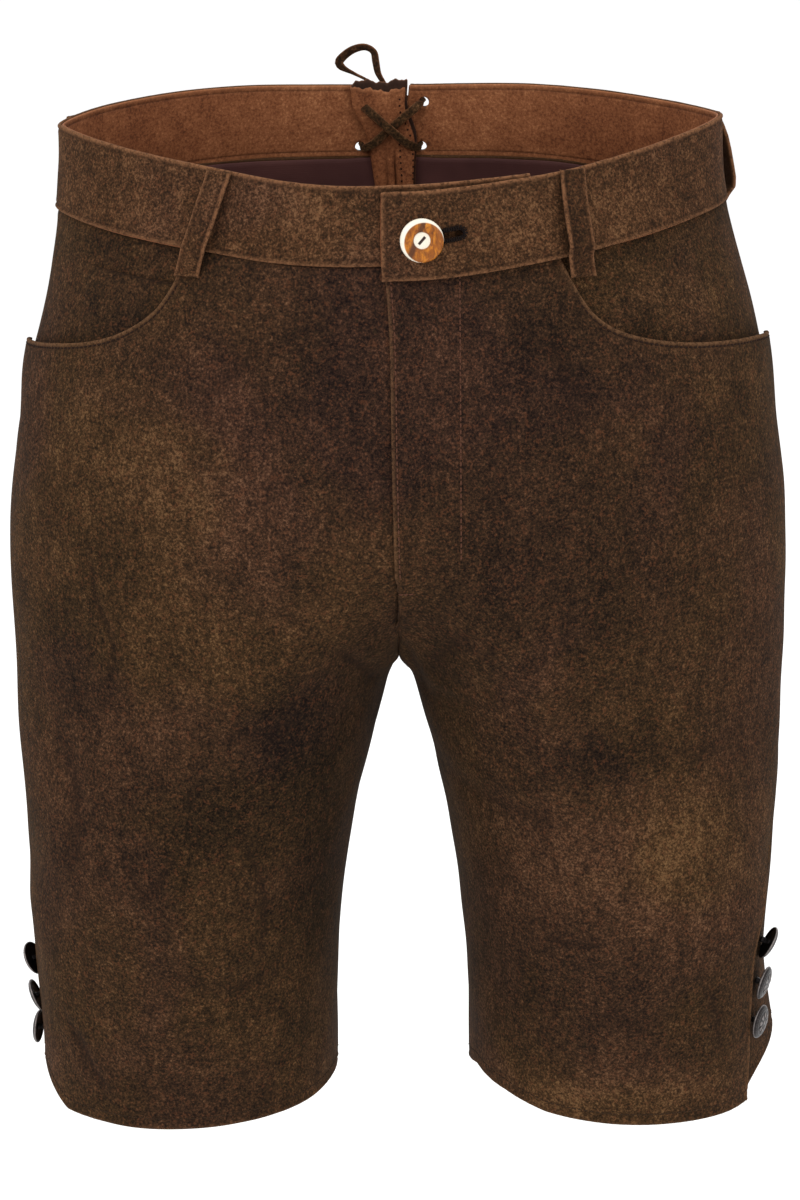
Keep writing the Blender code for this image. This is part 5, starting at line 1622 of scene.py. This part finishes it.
def pewter():
    paint = Paint("pewter")
    # Paler on the raised relief, as worn pewter is, and on the rim, where it is a painted highlight.
    raised = paint.range(paint.field("raised"), 0.02, 0.34)
    dirt = paint.noise(0.0016, 3.0, 0.6)
    value = paint.sum((raised, 0.70, 0.0), (dirt, 0.9, 0.5))
    colour = paint.ramp(paint.plus(value, 0.15), (
        (0.0, tint(22, 19, 19)), (0.35, tint(46, 41, 41)), (1.0, tint(128, 120, 117)),
    ))  # fmt: skip
    rough = paint.range(dirt, 0.3, 0.7, 0.30, 0.52)
    paint.bump(dirt, 0.08 * MM, 0.5)
    return paint.finish(colour, rough, Metallic=0.8)


def thread(name, colour):
    paint = Paint(name)
    twist = paint.noise(0.0006, 2.0, 0.5)
    paint.bump(twist, 0.1 * MM, 0.5)
    dark = tuple(0.6 * v for v in colour)
    return paint.finish(paint.mixed(twist, dark, colour), 0.9, Specular_IOR_Level=0.1)


# ---------------------------------------------------------------- the whole garment
CUTTER_SIDES = 24


def cutter(name, centre, axis, radius, length, stretch=0.0, along_way=(1, 0, 0)):
    """A rod, or with a stretch a slot with round ends, kept only until it has cut its hole."""
    sides = CUTTER_SIDES
    turn = (np.arange(sides) + 0.5) * 2 * math.pi / sides
    ring = np.stack([np.cos(turn) * radius, np.sin(turn) * radius], -1)
    ring[:, 0] += np.sign(ring[:, 0]) * stretch / 2
    ends = [np.concatenate([ring, np.full((sides, 1), way * length / 2)], 1) for way in (1, -1)]
    faces = [list(range(sides)), list(range(sides, 2 * sides))[::-1]]
    faces += [[i, i + sides, (i + 1) % sides + sides, (i + 1) % sides] for i in range(sides)]
    rod = linked(name, mesh_of(name, np.concatenate(ends), faces))
    rod.matrix_world = facing_frame(centre, axis, along_way)
    return rod


def pierce(mesh, rods):
    """The mesh with the rods' holes cut through it."""
    holder = linked("pierced", mesh)
    for rod in rods:
        boolean = holder.modifiers.new("hole", "BOOLEAN")
        boolean.operation, boolean.object = "DIFFERENCE", rod
    bpy.context.view_layer.update()
    cut = bpy.data.meshes.new_from_object(holder.evaluated_get(bpy.context.evaluated_depsgraph_get()))
    bpy.data.objects.remove(holder)
    cut.name = mesh.name
    cut.shade_smooth()
    return cut


def eyelet_rods(side):
    rods = []
    for name, (from_middle, z) in EYELETS.items():
        u = back_girth_at(from_middle, z)
        centre, axis = place(side, u, z), outward(side, u, z)
        rods.append(cutter(f"eyelet_{name}", centre, axis, EYELET_RADIUS + 0.5 * MM, 16 * MM))
    return rods


def buttonhole_rod():
    x, z = WAIST_BUTTON_AT
    u = girth_at(x, z)
    reach = float(np.linalg.norm(BUTTONHOLE_REACH))
    centre = place(LEFT, u, z, LAPPED_BAND) + BUTTONHOLE_REACH / 2
    return cutter("buttonhole", centre, outward(LEFT, u, z), 1.5 * MM, 8 * MM, reach, BUTTONHOLE_REACH)


def add_cloth(sheet, thickness, finish, threads, rods=()):
    """Adds a cloth piece with its stitches, and works out how large its flat cut is."""
    mesh = sheet.mesh(thickness)
    if rods and sheet.name.startswith(("waistband", "facing_")):
        mesh = pierce(mesh, rods)
        mesh.materials.clear()
    piece = add_object(f"cloth_{sheet.name}", mesh, finish, sheet.name)
    for kind, rows in sheet.stitches.items():
        size = sheet.name if sheet.name in STITCHES else kind
        add_stitches(f"stitches_{kind}_{sheet.name}", rows, threads[size], size)
    across, down, area = sheet.cut()


BUTTONHOLE_THREADS = 46
BUTTONHOLE_EDGE = (1.2 * MM, 3.7 * MM)  # each thread's ends, from the slot's middle line
THREAD_TURN = 2.4 * MM  # the threads' spacing round each end is measured at this radius


def buttonhole_stitches(finish):
    """Short threads side by side round the slot."""
    x, z = WAIST_BUTTON_AT
    u = girth_at(x, z)
    reach = float(np.linalg.norm(BUTTONHOLE_REACH))
    centre = place(LEFT, u, z, LAPPED_BAND + 0.1 * MM) + BUTTONHOLE_REACH / 2
    turn = np.array(facing_frame(centre, outward(LEFT, u, z), BUTTONHOLE_REACH))
    half = reach + math.pi * THREAD_TURN
    lines = []
    for k in range(BUTTONHOLE_THREADS):
        run = k / BUTTONHOLE_THREADS * 2 * half
        across, run = (1, run) if run < half else (-1, run - half)
        angle = math.pi / 2 - max(run - reach, 0.0) / THREAD_TURN
        at = across * (min(run, reach) - reach / 2)
        way = across * math.cos(angle), across * math.sin(angle)
        ends = [(at + way[0] * r, way[1] * r, 0.0, 1.0) for r in BUTTONHOLE_EDGE]
        points = (np.array(ends) @ turn.T)[:, :3]
        lines.append(np.concatenate([points, np.repeat(turn[None, :3, 2], 2, axis=0)], 1))
    add_stitches("stitches_buttonhole", lines, finish, "buttonhole")


def add_knot(knot, finish):
    """The overhand knot of the lace: two turns of the strip."""
    turn = np.linspace(0.0, 4.2 * math.pi, 60)
    route = np.stack([
        (2.4 + 0.5 * np.sin(turn / 2)) * np.cos(turn),
        1.3 * np.sin(turn) * np.cos(turn / 2),
        1.8 * np.sin(turn) + 0.4 * np.cos(turn / 2),
    ], -1) * MM  # fmt: skip
    strip(
        "knot_lace_knot", list(knot + route[::4]), lambda line: unit(line - knot), finish,
        "lace_knot", width=2.6 * MM,
    )  # fmt: skip


def build():
    add_camera()
    add_lights()
    add_floor()
    dark_suede = suede("suede")
    light_suede = suede("suede_light", lift=0.15, worn=(122, 84, 58), olive=(1.05, 0.99, 0.96))
    tan, cloth = tan_leather(), lining_cloth()
    threads = {
        "plain": thread("brown_thread", tint(40, 26, 20)), "hem": thread("hem_thread", tint(56, 41, 29)),
        "fly": thread("fly_thread", tint(92, 60, 46)), "gusset": thread("dark_thread", tint(40, 20, 14)),
    }  # fmt: skip

    lace_suede = suede("lace_suede", lift=0.02, worn=(128, 84, 56))
    knot, lacing, loop, tails = lace_routes()

    def from_axis(line):
        return unit(line * np.array([1.0, 1.0, 0.0]))

    def loop_side(line):
        """The loop twists: flat to the front at its top, on edge along its lower strand."""
        turn = np.interp(np.linspace(0, 1, len(line)), (0, 0.3, 0.62, 0.75, 1), (1.3, 0.9, 0.5, 1.3, 1.5))
        return np.stack([np.sin(turn) * 0.4, np.cos(turn), np.sin(turn) * 0.9], -1)

    routes = [("lace", lacing, from_axis, "object"), ("lace_loop", loop, loop_side, "knot")]
    routes += [(f"lace_end_{SIDE_NAME[s]}", tails[s], from_axis, "bare") for s in (LEFT, RIGHT)]
    for name, route, flat_side, far_end in routes:
        piece, line, run = strip(f"strip_{name}", route, flat_side, lace_suede, name)

    for side in (LEFT, RIGHT):
        rods = eyelet_rods(side)
        if side == LEFT:
            rods.append(buttonhole_rod())
        for sheet, thickness, finish, slot in (
            (front_panel(side), LEATHER, dark_suede, "suede"),
            (back_panel(side), LEATHER, dark_suede, "suede"),
            (waistband(side), BAND_LEATHER, light_suede, "suede_light"),
            (facing(side), FACING_LEATHER, tan, "tan_leather"),
            (pocket_facing(side), HIP_LEATHER, dark_suede, "suede"),
            (lining(side), LINING_CLOTH, cloth, "lining_cloth"),
        ):
            add_cloth(sheet, thickness, finish, threads, rods)
        for rod in rods:
            bpy.data.objects.remove(rod)
    add_cloth(coin_pocket(), COIN_LEATHER, dark_suede, threads)
    add_cloth(fly_facing(), HIP_LEATHER, dark_suede, threads)
    add_cloth(gusset(), GUSSET_LEATHER, tan, threads)
    for name in LOOPS:
        add_cloth(belt_loop(name), LOOP_LEATHER, light_suede, threads)
    buttonhole_stitches(thread("black_thread", tint(24, 17, 15)))
    waist_button(horn())
    metal = pewter()
    for side, rows in LEG_BUTTONS.items():
        for index in range(len(rows)):
            leg_button(side, index, metal)
    add_knot(knot, lace_suede)


build()
